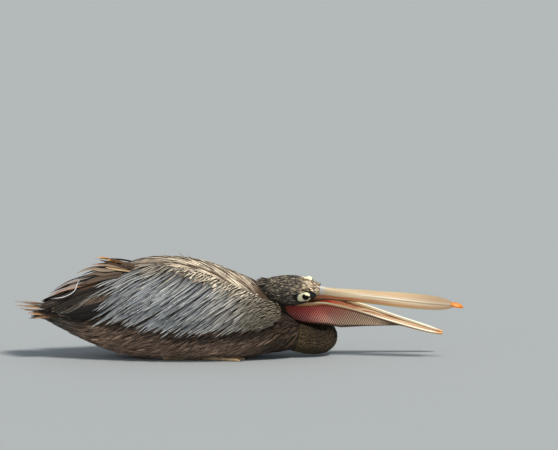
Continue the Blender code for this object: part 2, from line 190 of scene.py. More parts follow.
def joined(shells):
    # several shells as the points and faces of one mesh
    points, quads, fans = zip(*shells)
    starts = np.cumsum([0] + [len(part) for part in points])
    return np.vstack(points), *(np.vstack([part + start for part, start in zip(sets, starts)])
                                for sets in (quads, fans))


def tube(line, wide, tall):
    # an oval carried along a line that lies level
    turn = circle(20)
    across = np.cross((0, 0, 1.0), unit(np.gradient(line, axis=0)))
    ring = line[:, None] + across[:, None] * (wide[:, None] * np.cos(turn))[..., None]
    return shell(ring + spread(0, 0, tall[:, None] * np.sin(turn)))


class Wire:
    # a socket that can be added, multiplied and so on, each time through one more Math node
    def __init__(self, finish, socket):
        self.finish = finish
        self.socket = socket

    def maths(self, operation, first, second=0):
        return self.finish.node("ShaderNodeMath", {"operation": operation}, {0: first, 1: second})

    def __add__(self, other):
        return self.maths("ADD", self, other)

    __radd__ = __add__

    def __sub__(self, other):
        return self.maths("SUBTRACT", self, other)

    def __rsub__(self, other):
        return self.maths("SUBTRACT", other, self)

    def __mul__(self, other):
        return self.maths("MULTIPLY", self, other)

    __rmul__ = __mul__

    def __abs__(self):
        return self.maths("ABSOLUTE", self)

    def sine(self):
        return self.maths("SINE", self)

    def rise(self, low, high):
        # 0 below low, 1 above high, smooth between
        return self.finish.node("ShaderNodeMapRange", {"interpolation_type": "SMOOTHSTEP"},
                                {"Value": self, "From Min": low, "From Max": high})


class Finish:
    # a material: a Principled shader and whatever nodes feed it
    def __init__(self, name, specular, roughness=0.5):
        self.material = bpy.data.materials.new(name)
        self.material.use_nodes = True
        self.tree = self.material.node_tree
        self.shader = self.tree.nodes["Principled BSDF"]
        self.feed(self.shader, {"Specular IOR Level": specular, "Roughness": roughness})

    def finish(self, colour, normal=None, roughness=None):
        # feeds the shader what is given and gives the material
        given = {"Base Color": colour, "Normal": normal, "Roughness": roughness}
        self.feed(self.shader, {key: value for key, value in given.items() if value is not None})
        return self.material

    def coat(self, weight, roughness):
        # a clear coat over the rest
        self.feed(self.shader, {"Coat Weight": weight, "Coat Roughness": roughness})

    def feed(self, node, inputs):
        for key, value in inputs.items():
            if isinstance(value, Wire):
                self.tree.links.new(value.socket, node.inputs[key])
            elif hasattr(value, "__len__") and node.inputs[key].type == "RGBA":
                node.inputs[key].default_value = (*value[:3], 1)
            else:
                node.inputs[key].default_value = value

    def node(self, kind, settings=None, inputs=None, out=0):
        # any node, with its settings and inputs; gives one of its outputs
        made = self.tree.nodes.new(kind)
        for key, value in (settings or {}).items():
            setattr(made, key, value)
        self.feed(made, inputs or {})
        return Wire(self, made.outputs[out])

    def mix(self, share, first, second, way="MIX"):
        return self.node("ShaderNodeMix", {"data_type": "RGBA", "blend_type": way},
                         {0: share, 6: first, 7: second}, out=2)

    def layered(self, colour, *layers):
        # colours laid over one another, each by its share: (share, red, green, blue) or (share, colour)
        for share, *levels in layers:
            colour = self.mix(share, colour, linear(*levels) if len(levels) == 3 else levels[0])
        return colour

    def place(self):
        # the place in the piece's own coordinates
        return self.node("ShaderNodeTexCoord", out=3)

    def noise(self, scale, detail=3, place=None):
        return self.node("ShaderNodeTexNoise", None, {
            "Vector": place or self.place(), "Scale": scale, "Detail": detail, "Roughness": 0.55})

    def streaks(self, scale, detail):
        # noise stretched along the piece's own map
        lay = self.node("ShaderNodeUVMap", {"uv_map": "lay"})
        return self.noise(1, detail, self.node("ShaderNodeMapping", None, {"Vector": lay, "Scale": scale}))

    def attribute(self, name, out="Color"):
        return self.node("ShaderNodeAttribute", {"attribute_name": name}, out=out)

    def uv(self, name="lay"):
        made = self.node("ShaderNodeUVMap", {"uv_map": name})
        return [self.node("ShaderNodeSeparateXYZ", None, {0: made}, out=k) for k in (0, 1)]

    def bump(self, height, strength, distance):
        levels = {"Height": height, "Strength": strength, "Distance": distance}
        return self.node("ShaderNodeBump", None, levels)


# The bird's forms, as functions of two parameters. All stations are in millimetres.
trunk = {
    # along the bird, top, widest height, bottom, half width
    "stations": [
        (-462, 112, 101, 90, 12), (-430, 130, 100, 74, 36), (-370, 166, 102, 43, 60),
        (-300, 206, 104, 14, 80), (-230, 235, 104, 0, 94), (-150, 240, 100, -4, 102),
        (-70, 226, 96, -4, 102), (0, 199, 90, 0, 96), (40, 180, 84, 4, 86), (65, 148, 79, 9, 78),
        (95, 117, 70, 13, 66), (130, 94, 58, 19, 45), (152, 78, 50, 28, 22),
    ],
    "backFullness": 1.9, "bellyFullness": 2.6, "skinDepth": 0.009,
}
neck = {
    # middle line and radius, from inside the head to the breast
    "stations": [
        (86, 6, 152, 25), (83, 21, 127, 27), (99, 35, 104, 27), (132, 52, 89, 27), (166, 57, 77, 26),
        (195, 51, 61, 26), (207, 34, 44, 26), (194, 16, 34, 28), (166, 5, 37, 31), (134, 0, 47, 34),
    ],
    "skinDepth": 0.004,
    "fold": ((0.128, 0.03, 0.066), (0.188, 0.034, 0.055)), "foldRadius": 0.013,  # fills the loop's middle
}
head = {
    # along the head, middle height, half width, half height
    "stations": [
        (-110, -26, 8, 9), (-98, -25, 20, 21), (-78, -24, 29, 31), (-52, -21, 34, 36), (-26, -17, 35, 37),
        (-4, -13, 31, 33), (16, -8, 25, 25), (32, -4, 18.5, 15.5), (41, -3, 14.5, 10),
    ],
    "crownTaper": 0.1, "skinDepth": 0.0026,
    "roll": 50, "pitch": 5.4, "yaw": -6,
    "eye": (0.007, 0.0197, -0.0045), "eyeRadius": 0.0105,
}
wing = {
    # along the bird, upper edge out and up, lower edge out and up, bulge
    "stations": [
        (103.5, 61, 122, 66, 108, 0), (98.5, 70, 126, 78, 103, 2), (88, 60, 142, 88, 89, 8),
        (55, 56, 156, 99, 79, 13), (0, 54, 180, 108, 76, 16), (-60, 54, 203, 113, 73, 17),
        (-120, 54, 220, 114, 73, 17), (-180, 50, 229, 111, 88, 16), (-240, 36, 230, 103, 99, 16),
        (-290, 16, 224, 93, 104, 15), (-340, 7, 211, 80, 107, 13), (-390, 6, 188, 67, 111, 10),
        (-430, 7, 161, 57, 115, 7), (-480, 12, 129, 45, 119, 3),
    ],
    "shoulder": 0.45, "skinDepth": 0.0065, "slab": 0.02,
}
skinVoxel = 0.0026
trunkTable, wingTable, headTable = (tableOf(form["stations"]) for form in (trunk, wing, head))


def centreOf(node):
    # the middle of a solid's box
    low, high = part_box(node)
    return (np.array(low) + np.array(high)) / 2


# The frame says where the body lies along X and where the head is held
bodyShift = np.array((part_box("trunk")[0][0] - trunk["stations"][0][0] / 1000, 0, 0))
headTurn = np.array(Euler([math.radians(head[k]) for k in ("roll", "pitch", "yaw")], "XYZ").to_matrix())
eyeMiddle = (centreOf("eye_left") + centreOf("eye_right")) / 2
headPlace = eyeMiddle - headTurn @ (head["eye"][0], 0, head["eye"][2])


def fromHead(points):
    # turned and moved out of the head's frame
    return points @ headTurn.T + headPlace


def toHead(points):
    # the same way back
    return (points - headPlace) @ headTurn


def trunkForm(x, turn, depth=0.0):
    # at the angle turn round the trunk, out to where (|cos|/a)^n + (|sin|/b)^n is 1
    top, widest, bottom, half = lookUp(trunkTable, x)
    over = np.sin(turn) > 0
    tall = np.maximum(np.where(over, top - widest, widest - bottom) - depth, 0.002)
    across = np.maximum(half - depth, 0.002)
    power = np.where(over, trunk["backFullness"], trunk["bellyFullness"])
    reach = (np.abs(np.cos(turn) / across) ** power + np.abs(np.sin(turn) / tall) ** power) ** (-1 / power)
    height = np.maximum(widest + reach * np.sin(turn), depth + 0.0006)
    return spread(x, reach * np.cos(turn), height) + bodyShift


def wingForm(side):
    def form(x, down, depth=0.0):
        # from the upper edge (0) to the lower one (1): a straight line, a sine bulge and a soft shoulder
        outTop, upTop, outLow, upLow, bulge = lookUp(wingTable, x)
        wide, tall = outLow - outTop, upLow - upTop
        quarter = 0.5 * math.pi * down
        out = outTop + wide * (down + wing["shoulder"] * np.sin(quarter) * (1 - down))
        out = out + bulge * np.sin(math.pi * down)
        rounding = 0.5 * math.pi * np.cos(quarter) * (1 - down) - np.sin(quarter)
        slope = wide * (1 + wing["shoulder"] * rounding) + math.pi * bulge * np.cos(math.pi * down)
        steep = np.hypot(slope, tall)
        height = upTop + tall * down - depth * slope / steep
        return spread(x, side * (out + depth * tall / steep), height) + bodyShift
    return form


def headForm(x, turn, depth=0.0):
    # ovals along the skull, narrower at the crown than at the cheeks
    middle, half, tall = lookUp(headTable, x)
    across = np.maximum(half - depth, 0.001) * np.cos(turn) * (1 - head["crownTaper"] * np.sin(turn))
    return fromHead(spread(x, across, middle + np.maximum(tall - depth, 0.001) * np.sin(turn)))


def neckFrames(count=300):
    # the neck's middle line with two directions across it, each turned on from the last without a twist
    line = along(np.array(neck["stations"]) / 1000, np.linspace(0, len(neck["stations"]) - 1, count))
    ahead = unit(np.gradient(line[:, :3], axis=0))
    sides = [np.array((0.0, 1.0, 0.0))]
    for forwards in ahead:
        sides.append(unit(sides[-1] - forwards * (sides[-1] @ forwards)))
    sides = np.array(sides[1:])
    return np.column_stack([steps(count), line, sides, np.cross(ahead, sides)])


neckTable = neckFrames()


def neckForm(share, turn, depth=0.0):
    # a round tube along the neck's middle line, share running from 0 at the head to 1 at the breast
    found = lookUp(neckTable, share)
    middle, radius, side, up = spread(*found[:3]), found[3], spread(*found[4:7]), spread(*found[7:10])
    ring = side * np.cos(turn)[..., None] + up * np.sin(turn)[..., None]
    return middle + (radius - depth)[..., None] * ring + bodyShift


def ringsOf(form, start, end, count, around, depth):
    # a stack of rings round a form, drawn in by the depth
    a, b = np.meshgrid(np.linspace(start, end, count), circle(around), indexing="ij")
    return form(a, b, depth)


def wingSlab(side):
    # the folded arm's flesh: the wing's face, drawn in, and an inner face that reaches into the trunk
    a, b = np.meshgrid(np.linspace(0.096, -0.4, 60), np.linspace(0.02, 0.9, 24), indexing="ij")
    outer, inner = (wingForm(side)(a, b, wing[depth]) for depth in ("skinDepth", "slab"))
    return np.concatenate([outer, inner[:, ::-1]], axis=1)[:, ::side]


def pointsOf(mesh, what="co"):
    # the mesh's places, or its normals
    points = np.empty(len(mesh.vertices) * 3, np.float32)
    mesh.vertices.foreach_get(what, points)
    return points.reshape(-1, 3).astype(float)


# Markings, shared by the skin and the coat; crease is the dark brown of the painted shade in the mantle's
# clefts
colours = {
    "mantle": linear(250, 233, 206), "back": linear(150, 134, 118), "crease": linear(92, 62, 36),
    "covert": linear(130, 137, 144), "covertWarm": linear(146, 139, 126), "bend": linear(136, 122, 102),
    "flank": linear(140, 114, 96), "breast": linear(43, 30, 17), "belly": linear(160, 140, 124),
    "undertail": linear(84, 86, 78), "neck": linear(70, 57, 30), "crown": linear(82, 76, 66),
    "cheek": linear(23, 23, 18), "forehead": linear(236, 204, 160), "billEdge": linear(74, 50, 28),
}


def bodyColour(points):
    # back, mantle, flanks, breast and undertail run into each other by place
    x, _, z = points.T
    colour = blend(colours["flank"], colours["breast"], ease(0.03, 0.12, x))
    colour = blend(colour, colours["belly"], 0.6 * ease(0.03, 0.0, z) * ease(0.1, 0.0, x))
    colour = blend(colour, colours["undertail"], ease(-0.33, -0.41, x))
    upper = ease(0.13, 0.17, z + 0.25 * ease(-0.38, -0.46, x) * 0.1)
    return blend(colour, blend(colours["back"], colours["mantle"], ease(-0.17, -0.07, x)), upper)


def headColour(points):
    # from the crown to the darker cheek, pale over the bill's root, as brown as the neck behind
    x, _, z = toHead(points).T
    colour = blend(colours["crown"], colours["cheek"], ease(-0.012, -0.035, z))
    colour = blend(colour, colours["forehead"], ease(-0.012, 0.022, x) * ease(-0.02, 0.004, z))
    colour = blend(colour, colours["billEdge"], ease(0.033, 0.037, x))
    return blend(colour, colours["neck"], ease(-0.085, -0.105, x) * 0.6)


def neckColour(points):
    # the neck runs into the breast by how far forward it is
    return blend(colours["neck"], colours["breast"], ease(0.14, 0.19, points[:, 0]))


def skinFinish():
    # the tint, darkened in patches of noise, and finely grained
    made = Finish("skin", 0.25, 0.8)
    base = made.attribute("tint")
    colour = made.mix(1, base, (0.35, 0.33, 0.32), "MULTIPLY")
    colour = made.mix(made.noise(160).rise(0.3, 0.7), colour, base)
    return made.finish(colour, made.bump(made.noise(420, 4), 0.5, 0.0008))


def makeSkin():
    # one shrunken skin over trunk, neck, head and folded arms, grown together
    fold = np.linspace(*neck["fold"], 12)
    parts = [
        shell(ringsOf(trunkForm, -0.452, 0.143, 90, 64, trunk["skinDepth"])),
        shell(ringsOf(neckForm, 0, 1, 70, 32, neck["skinDepth"])),
        shell(ringsOf(headForm, -0.106, 0.037, 60, 48, head["skinDepth"])),
        tube(fold + bodyShift, *np.full((2, 12), neck["foldRadius"])),
        shell(wingSlab(-1)),
        shell(wingSlab(1)),
    ]
    cage = placed("cage", meshOf("cage", *joined(parts)))
    remesh = cage.modifiers.new("one skin", "REMESH")
    remesh.mode = "VOXEL"
    remesh.voxel_size = skinVoxel
    relax = cage.modifiers.new("relax", "SMOOTH")
    relax.factor = 0.5
    relax.iterations = 6
    mesh = bpy.data.meshes.new_from_object(cage.evaluated_get(bpy.context.evaluated_depsgraph_get()))
    bpy.data.objects.remove(cage)
    mesh.name = "skin"
    mesh.shade_smooth()
    points = pointsOf(mesh)
    x, y, z = points.T
    headX, headY, headZ = toHead(points).T
    onHead = ease(-0.115, -0.095, headX) * ease(0.045, 0.04, np.abs(headY)) * ease(-0.075, -0.06, headZ)
    onNeck = ease(0.06, 0.09, x) * ease(0.15, 0.13, z)
    onBend = ease(0.05, 0.055, np.abs(y)) * ease(0.078, 0.084, z) * (x > 0)
    colour = blend(bodyColour(points) * 0.5, neckColour(points) * 0.6, onNeck)
    colour = blend(colour, colours["bend"] * 0.8, onBend * ease(0.115, 0.1, x - bodyShift[0]))
    paintMesh(mesh, "tint", blend(colour, headColour(points) * 0.8, onHead))
    print("skin:", len(mesh.polygons), "faces")
    return addPiece(mesh, skinFinish(), "brown_plumage", "trunk", "neck", "head", "wing_left", "wing_right")


# A feather's own shape and finish. Every tract of the coat starts from these values and gives its own
# length and width, how much they vary, how far feathers stray and how deep their tips lie.
plume = {
    "rows": 6, "columns": 5, "camber": 0.4, "roll": 10, "lean": 0,  # roll and lean in degrees
    "root": 0.008, "rise": 0.75,  # the root's depth below the coat's face, and how it rises from there
    "opens": 0.2, "closes": 0.4, "blunt": 1.5,  # where the vane opens and closes, and how round its end is
    "edgeFrom": 0.5, "edgeShare": 0.7, "gap": 0.4, "gapTo": 0.35, "shaft": 0.3, "barbs": 300,
    "rootShade": 0.4, "tipFrom": 0.8, "tipShare": 0.3,
}


def facing(form, a, b):
    # a form's points, its two slopes there, and the direction that faces away from its inside
    nudge = 1e-4
    here = form(a, b)
    overA, overB = (form(a + nudge, b) - here) / nudge, (form(a, b + nudge) - here) / nudge
    outward = unit(np.cross(overA, overB))
    away = np.sign((outward * (here - form(a, b, 0.001))).sum(axis=-1, keepdims=True))
    return here, overA, overB, outward * away


def comb(form, a, b, heading, length, rows):
    # walks over a form from (a, b) in equal steps along the heading; gives points and outward directions
    points, faces = [], []
    for _ in range(rows):
        here, overA, overB, outward = facing(form, a, b)
        points.append(here)
        faces.append(outward)
        way = heading(here)
        way = unit(way - outward * (way * outward).sum(axis=-1, keepdims=True))
        aa, ab, bb = ((p * q).sum(axis=-1) for p, q in ((overA, overA), (overA, overB), (overB, overB)))
        wa, wb = (way * overA).sum(axis=-1), (way * overB).sum(axis=-1)
        area = np.maximum(aa * bb - ab * ab, 1e-12)
        a = a + length / (rows - 1) * (wa * bb - wb * ab) / area
        b = b + length / (rows - 1) * (wb * aa - wa * ab) / area
    return np.stack(points, axis=1), np.stack(faces, axis=1)


def vaneWidth(tract, t):
    # opens quickly from the quill, runs broad, and closes to a point past the shoulder
    opened = np.clip(t / tract["opens"], 0, 1) ** 0.6
    closing = np.clip((t - tract["closes"]) / (1 - tract["closes"]), 0, 1) ** tract["blunt"]
    return 0.08 + 0.92 * (0.25 + 0.75 * opened) * (1 - closing)


def strips(count):
    # where a few long feathers lie in the map OFBake, and how large: upright strips side by side
    return np.column_stack([(np.arange(count) + 0.5) / count, np.full(count, 0.42)]), (0.9 / count, 0.8)


def vanes(name, tract, spine, outward, width, tint, edge, baked, rng, hand=1):
    # Each vane is a closed blade along its own spine. Its section has a raised shaft in the middle,
    # falls to two thin edges as 1 - c^2, and is flat below. Lean lifts the edge on the hand's side.
    count, rows = spine.shape[:2]
    columns = tract["columns"]
    each = rows * columns
    t = steps(rows)
    ahead = unit(np.gradient(spine, axis=1))
    side = unit(np.cross(ahead, outward))
    roll = np.radians(rng.normal(hand * tract["lean"], tract["roll"], (count, 1, 1)))
    side = side * np.cos(roll) + outward * np.sin(roll)
    raised = unit(np.cross(side, ahead))
    c = np.linspace(-1, 1, columns)
    half = 0.5 * width[:, None] * vaneWidth(tract, t)
    ridge = tract["camber"] * half * (0.35 + 0.65 * np.sin(math.pi * np.clip(t + 0.15, 0, 1)))
    points = spine[:, :, None] + side[:, :, None] * (half[..., None] * c)[..., None]
    points = points + raised[:, :, None] * (ridge[..., None] * (1 - c**2))[..., None]
    points[..., 2] = np.maximum(points[..., 2], 0.0004)
    first = np.arange(count)[:, None, None] * each
    sides = (first + gridFaces(rows, columns, True)).reshape(-1, 4)
    row = np.arange(columns)
    caps = np.concatenate([first[:, 0] + row[::-1], first[:, 0] + (rows - 1) * columns + row])
    mesh = meshOf(name, points, sides, caps)
    u, v = np.meshgrid(0.5 + 0.5 * hand * c, t)
    vane = np.tile(np.stack([u, v], axis=-1).reshape(-1, 2), (count, 1))
    patch = vane + np.stack([0 * vane[:, 0], 0.2 * (1 - (2 * vane[:, 0] - 1) ** 2)], axis=-1) - 0.5
    mapMesh(mesh, "OFBake", np.repeat(baked[0], each, axis=0) * 0.99 + 0.005 + patch * baked[1])
    mapMesh(mesh, "vane", vane)
    chance = rng.random(count)
    for layer, colour in (("tint", tint), ("edge", edge)):
        paintMesh(mesh, layer, np.repeat(np.column_stack([colour, chance]), each, axis=0))
    return mesh


def featherFinish(name, tract):
    # the tint with pale edges and tip, the raised edge paler as painted highlight, a dark line of painted
    # shade where it tucks under its neighbour, a dark shaft, fine slanting barbs and painted shade at the
    # root
    made = Finish(name, 0.3, 0.8)
    u, v = made.uv("vane")
    out = abs(u * 2 - 1)
    chance = made.attribute("tint", "Alpha")
    edge = made.attribute("edge")
    wobble = made.noise(110, 3) - 0.5
    # pale edges, a real marking, made paler on the raised edge as painted highlight
    border = (out + wobble * 0.4).rise(tract["edgeFrom"], 0.95) * (u * 0.4 + 0.6) * tract["edgeShare"]
    lines = (v * tract["barbs"] - out * tract["barbs"] * 0.1 + chance * 7).sine() * 0.5 + 0.5
    dark = (0.02, 0.016, 0.013)
    colour = made.layered(
        made.attribute("tint"),
        (border * (chance * 0.6 + 0.6), edge),
        ((v + wobble * 0.2).rise(tract["tipFrom"], 1.0) * tract["tipShare"], edge),
        (lines * 0.12, dark),
        ((1 - out.rise(0.0, 0.2)) * tract["shaft"], dark),
        # painted shade: a dark band along the tucked edge, where the neighbour's edge lies over it
        ((u + wobble * 0.15).rise(tract["gapTo"], 0.12) * (1.2 - chance * 0.6) * tract["gap"], dark),
    )
    # a random tone for each feather, times painted shade that darkens the root where the feathers overlap
    toneAndRootShade = (chance * 0.5 + 0.72) * (v.rise(0.0, 0.6) * (1 - tract["rootShade"]) + tract["rootShade"])
    grey = made.node("ShaderNodeCombineColor", None, {0: toneAndRootShade, 1: toneAndRootShade, 2: toneAndRootShade})
    return made.finish(made.mix(1, colour, grey, "MULTIPLY"), made.bump(lines, 0.25, 0.0003))


def addFeathers(mesh, finishName, tract, slot, *replaced):
    # each feather has two caps besides its strips' faces
    addPiece(mesh, featherFinish(finishName, tract), slot, *replaced)
    print(mesh.name + ":", len(mesh.polygons) // ((tract["rows"] - 1) * tract["columns"] + 2), "feathers")


def layFeathers(name, finishName, slot, tract, form, a, b, heading, tint, edge, rng,
                length=1.0, width=1.0, hand=1):
    # combs feathers over a form, each from deep at its root up to the coat's face at its tip; the map
    # OFBake is the form's own unwrap, (a, b) stretched to fill the square
    count = len(a)
    uneven = 1 - tract["vary"], 1 + tract["vary"], count
    length = tract["length"] * length * rng.uniform(*uneven)
    width = tract["width"] * width * rng.uniform(*uneven)
    stray = rng.normal(0, tract["stray"], (count, 3))
    spine, outward = comb(form, a, b, lambda p: unit(heading(p)) + stray, length, tract["rows"])
    tip = rng.uniform(*tract["tip"], count)[:, None]
    depth = tract["root"] + (tip - tract["root"]) * steps(tract["rows"]) ** tract["rise"]
    spine = spine - outward * depth[..., None]
    own = np.column_stack([a, b])
    baked = (own - own.min(axis=0)) / np.ptp(own, axis=0), (0.003, 0.003)
    mesh = vanes(name, tract, spine, outward, width, tint, edge, baked, rng, hand)
    addFeathers(mesh, finishName, tract, slot)


def looseFeathers(name, tract, root, outward, way, lock, rng, tint):
    # feathers that stand free: a straight run from each root along its way, lifted by the run's square
    count = len(root)
    run = steps(tract["rows"])[None, :, None]
    length = lock["length"] * rng.uniform(0.7, 1.15, (count, 1, 1))
    spine = root[:, None] + way[:, None] * run * length + outward[:, None] * (lock["lift"] * run**2 - 0.001)
    outward = np.repeat(outward[:, None], tract["rows"], axis=1)
    edge = paler(tint, 0.4, 200, 186, 160)
    return vanes(name, tract, spine, outward, np.full(count, lock["width"]), tint, edge, strips(count), rng)


def layBlades(name, finishName, slot, tract, blades, rng, side, *replaced):
    # single feathers, each along a smooth curve through its own places on the wing
    t = steps(tract["rows"])
    paths = np.stack([along(np.array(row[0]) / (1000, 100, 1000), t * (len(row[0]) - 1)) for row in blades])
    points, _, _, outward = facing(wingForm(side), paths[..., 0], paths[..., 1])
    spine = points + outward * paths[..., 2:]
    width = np.array([row[1] for row in blades]) / 1000
    tint, edge = (np.array([linear(*row[k]) for row in blades]) for k in (2, 3))
    mesh = vanes(name, tract, spine, outward, width, tint, edge, strips(len(blades)), rng, side)
    addFeathers(mesh, finishName, tract, slot, *replaced)


def scatter(form, aRange, bRange, spacing, rng, tries=40):
    # random places over a form, thinned to one in each cell of a 3-D grid
    probe = form(np.linspace(*aRange, 40)[:, None], np.linspace(*bRange, 40)[None, :])
    long, wide = (np.linalg.norm(np.diff(probe, axis=k), axis=-1) for k in (0, 1))
    wanted = int((long[:, 1:] * wide[1:]).sum() / spacing**2 * tries) + 100
    a, b = rng.uniform(*aRange, wanted), rng.uniform(*bRange, wanted)
    cell = np.floor(form(a, b) / spacing + 1000).astype(int)
    _, first = np.unique((cell[:, 0] * 4096 + cell[:, 1]) * 4096 + cell[:, 2], return_index=True)
    return a[first], b[first]


def paler(tint, share, *levels):
    # every tint the same share of the way to one colour
    return blend(tint, linear(*levels), np.full(len(tint), share))


def oneEach(low, high, count, rng):
    # one factor for each feather, to vary its tint
    return rng.uniform(low, high, (count, 1))


mantleTract = dict(
    plume, length=0.082, width=0.009, vary=0.3, rows=9, roll=14, stray=0.035, root=0.009,
    tip=(-0.001, 0.0018), closes=0.3, blunt=1.3, edgeFrom=0.45, edgeShare=0.8, gap=1.1, gapTo=0.42,
    shaft=0.25, spacing=0.0082,
)
# bands of painted shade in the clefts between the mantle's locks: how far apart, how they wander, where the
# dark is full and where it ends
locks = {"apart": 0.034, "wander": 0.3, "from": 0.25, "to": 0.62}


def underWing(points, margin):
    # 1 where the folded wing lies over the trunk
    x = points[:, 0] - bodyShift[0]
    _, upTop, _, upLow, _ = lookUp(wingTable, x)
    inside = (points[:, 2] < upTop - margin) & (points[:, 2] > upLow + margin * 1.5)
    return inside & (x < 0.07) & (x > -0.36)


def cleftShade(points):
    # 1 in the clefts between locks, where shade is painted: narrow bands of the sine of the way round, which
    # wander along
    x, y, z = (points - bodyShift).T
    across = (np.abs(y) - 0.55 * x - 0.6 * z) / locks["apart"]
    wave = np.sin(math.pi * (across + locks["wander"] * np.sin(19 * x + 2)))
    return ease(locks["to"], locks["from"], np.abs(wave)) * ease(-0.17, -0.1, x)


def makeMantle():
    # long feathers over the back above the wings, headed more inwards and up in front; the clefts are
    # painted dark as shade
    rng = np.random.default_rng(5)
    a, b = scatter(trunkForm, (-0.445, 0.085), (0.12, math.pi - 0.12), mantleTract["spacing"], rng)
    points = trunkForm(a, b)
    a, b, points = kept(~underWing(points, 0.012) & (points[:, 2] > 0.1), a, b, points)

    def heading(p):
        front = ease(-0.16, 0.0, p[:, 0])
        return spread(-1, -0.1 * np.sign(p[:, 1]) * (1 + 3 * front), -0.05 + 0.45 * front)

    # a fifth of the feathers darker at random, a tone; the rest darkened in the clefts as painted shade
    dark = np.where(rng.random(len(a)) < 0.2, 0.6, 0.95 * cleftShade(points))
    tint = blend(bodyColour(points), colours["crease"], dark) * oneEach(0.85, 1.12, len(a), rng)
    size = (1 + 0.2 * ease(-0.05, -0.2, a)) * (1 - 0.62 * ease(-0.31, -0.41, a))
    layFeathers("coat_back", "mantle_feathers", "brown_plumage", mantleTract, trunkForm, a, b, heading, tint,
                paler(tint, 0.7, 254, 244, 222), rng, size)


flankTract = dict(
    plume, length=0.04, width=0.0085, vary=0.25, rows=5, columns=3, camber=0.35, stray=0.14,
    tip=(0.0, 0.0025), closes=0.3, blunt=1.4, edgeFrom=0.3, edgeShare=0.5, gap=0.45, shaft=0.1,
    spacing=0.0078,
)


def makeFlanks():
    # short loose feathers on breast, belly and flanks, with painted shadow under the edge of the wings
    rng = np.random.default_rng(6)
    a, b = scatter(trunkForm, (-0.452, 0.148), (-math.pi, math.pi), flankTract["spacing"], rng)
    points = trunkForm(a, b)
    below = (points[:, 2] < 0.125) & ((np.sin(b) < 0.35) | (a > 0.03))
    a, b, points = kept(~underWing(points, 0.014) & below, a, b, points)

    def heading(p):
        return spread(-1, 0 * p[:, 0], -0.45 + 0.65 * ease(-0.3, -0.42, p[:, 0]))

    _, _, _, upLow, _ = lookUp(wingTable, a)
    # painted shadow: darker in a band just under the wing's lower edge, fading out towards the front
    under = np.exp(-(((points[:, 2] - upLow + 0.004) / 0.01) ** 2))
    shade = 1 - (0.75 * under * ease(0.09, 0.05, a))[:, None]
    tint = bodyColour(points) * rng.lognormal(-0.15, 0.4, (len(a), 1)) * shade
    edge = paler(tint, 0.4, 206, 172, 150) * shade * (1 - 0.5 * ease(0.02, 0.1, a))[:, None]
    layFeathers("coat_flanks", "flank_feathers", "brown_plumage", flankTract, trunkForm, a, b, heading, tint,
                edge, rng)


neckTract = dict(
    plume, length=0.012, width=0.0036, vary=0.3, rows=4, columns=3, camber=0.45, roll=15, stray=0.18,
    root=0.0032, tip=(-0.0005, 0.001), closes=0.3, barbs=60, spacing=0.0034,
)


def makeNeck():
    # small feathers that lie along the neck's middle line, each headed like the line's nearest point
    rng = np.random.default_rng(7)
    a, b = scatter(neckForm, (0.03, 0.99), (0, 2 * math.pi), neckTract["spacing"], rng)
    line = neckTable[::6, 1:4] + bodyShift
    ahead = unit(np.gradient(line, axis=0))

    def heading(p):
        return ahead[np.abs(line[None] - p[:, None]).sum(axis=-1).argmin(axis=1)]

    tint = neckColour(neckForm(a, b)) * oneEach(0.5, 1.25, len(a), rng)
    layFeathers("coat_neck", "neck_feathers", "brown_plumage", neckTract, neckForm, a, b, heading, tint,
                paler(tint, 0.4, 190, 166, 122), rng)


headTract = dict(
    plume, length=0.0115, width=0.0034, vary=0.3, rows=5, columns=3, camber=0.45, roll=18, stray=0.2,
    root=0.0026, tip=(-0.0014, 0.0006), blunt=2, edgeFrom=0.4, edgeShare=0.6, tipFrom=0.4, tipShare=0.7,
    barbs=40, spacing=0.0026,
)
crest = {"from": -0.107, "to": -0.086, "count": 90, "length": 0.019, "width": 0.0036, "lift": 0.0012}
facePatch = {"front": 0.029, "behind": 0.0262, "above": 0.0142, "below": 0.019, "square": 2.4}


def patchReach(turn):
    # how far the bare skin round the eye reaches at the angle turn, a squared oval
    wide = np.where(np.cos(turn) > 0, facePatch["front"], facePatch["behind"])
    tall = np.where(np.sin(turn) > 0, facePatch["above"], facePatch["below"])
    power = facePatch["square"]
    return (np.abs(np.cos(turn) / wide) ** power + np.abs(np.sin(turn) / tall) ** power) ** (-1 / power)


def onPatch(x, z):
    # below 1 inside the bare patch
    out, up = x - head["eye"][0], z - head["eye"][2]
    return np.hypot(out, up) / patchReach(np.arctan2(up, out))


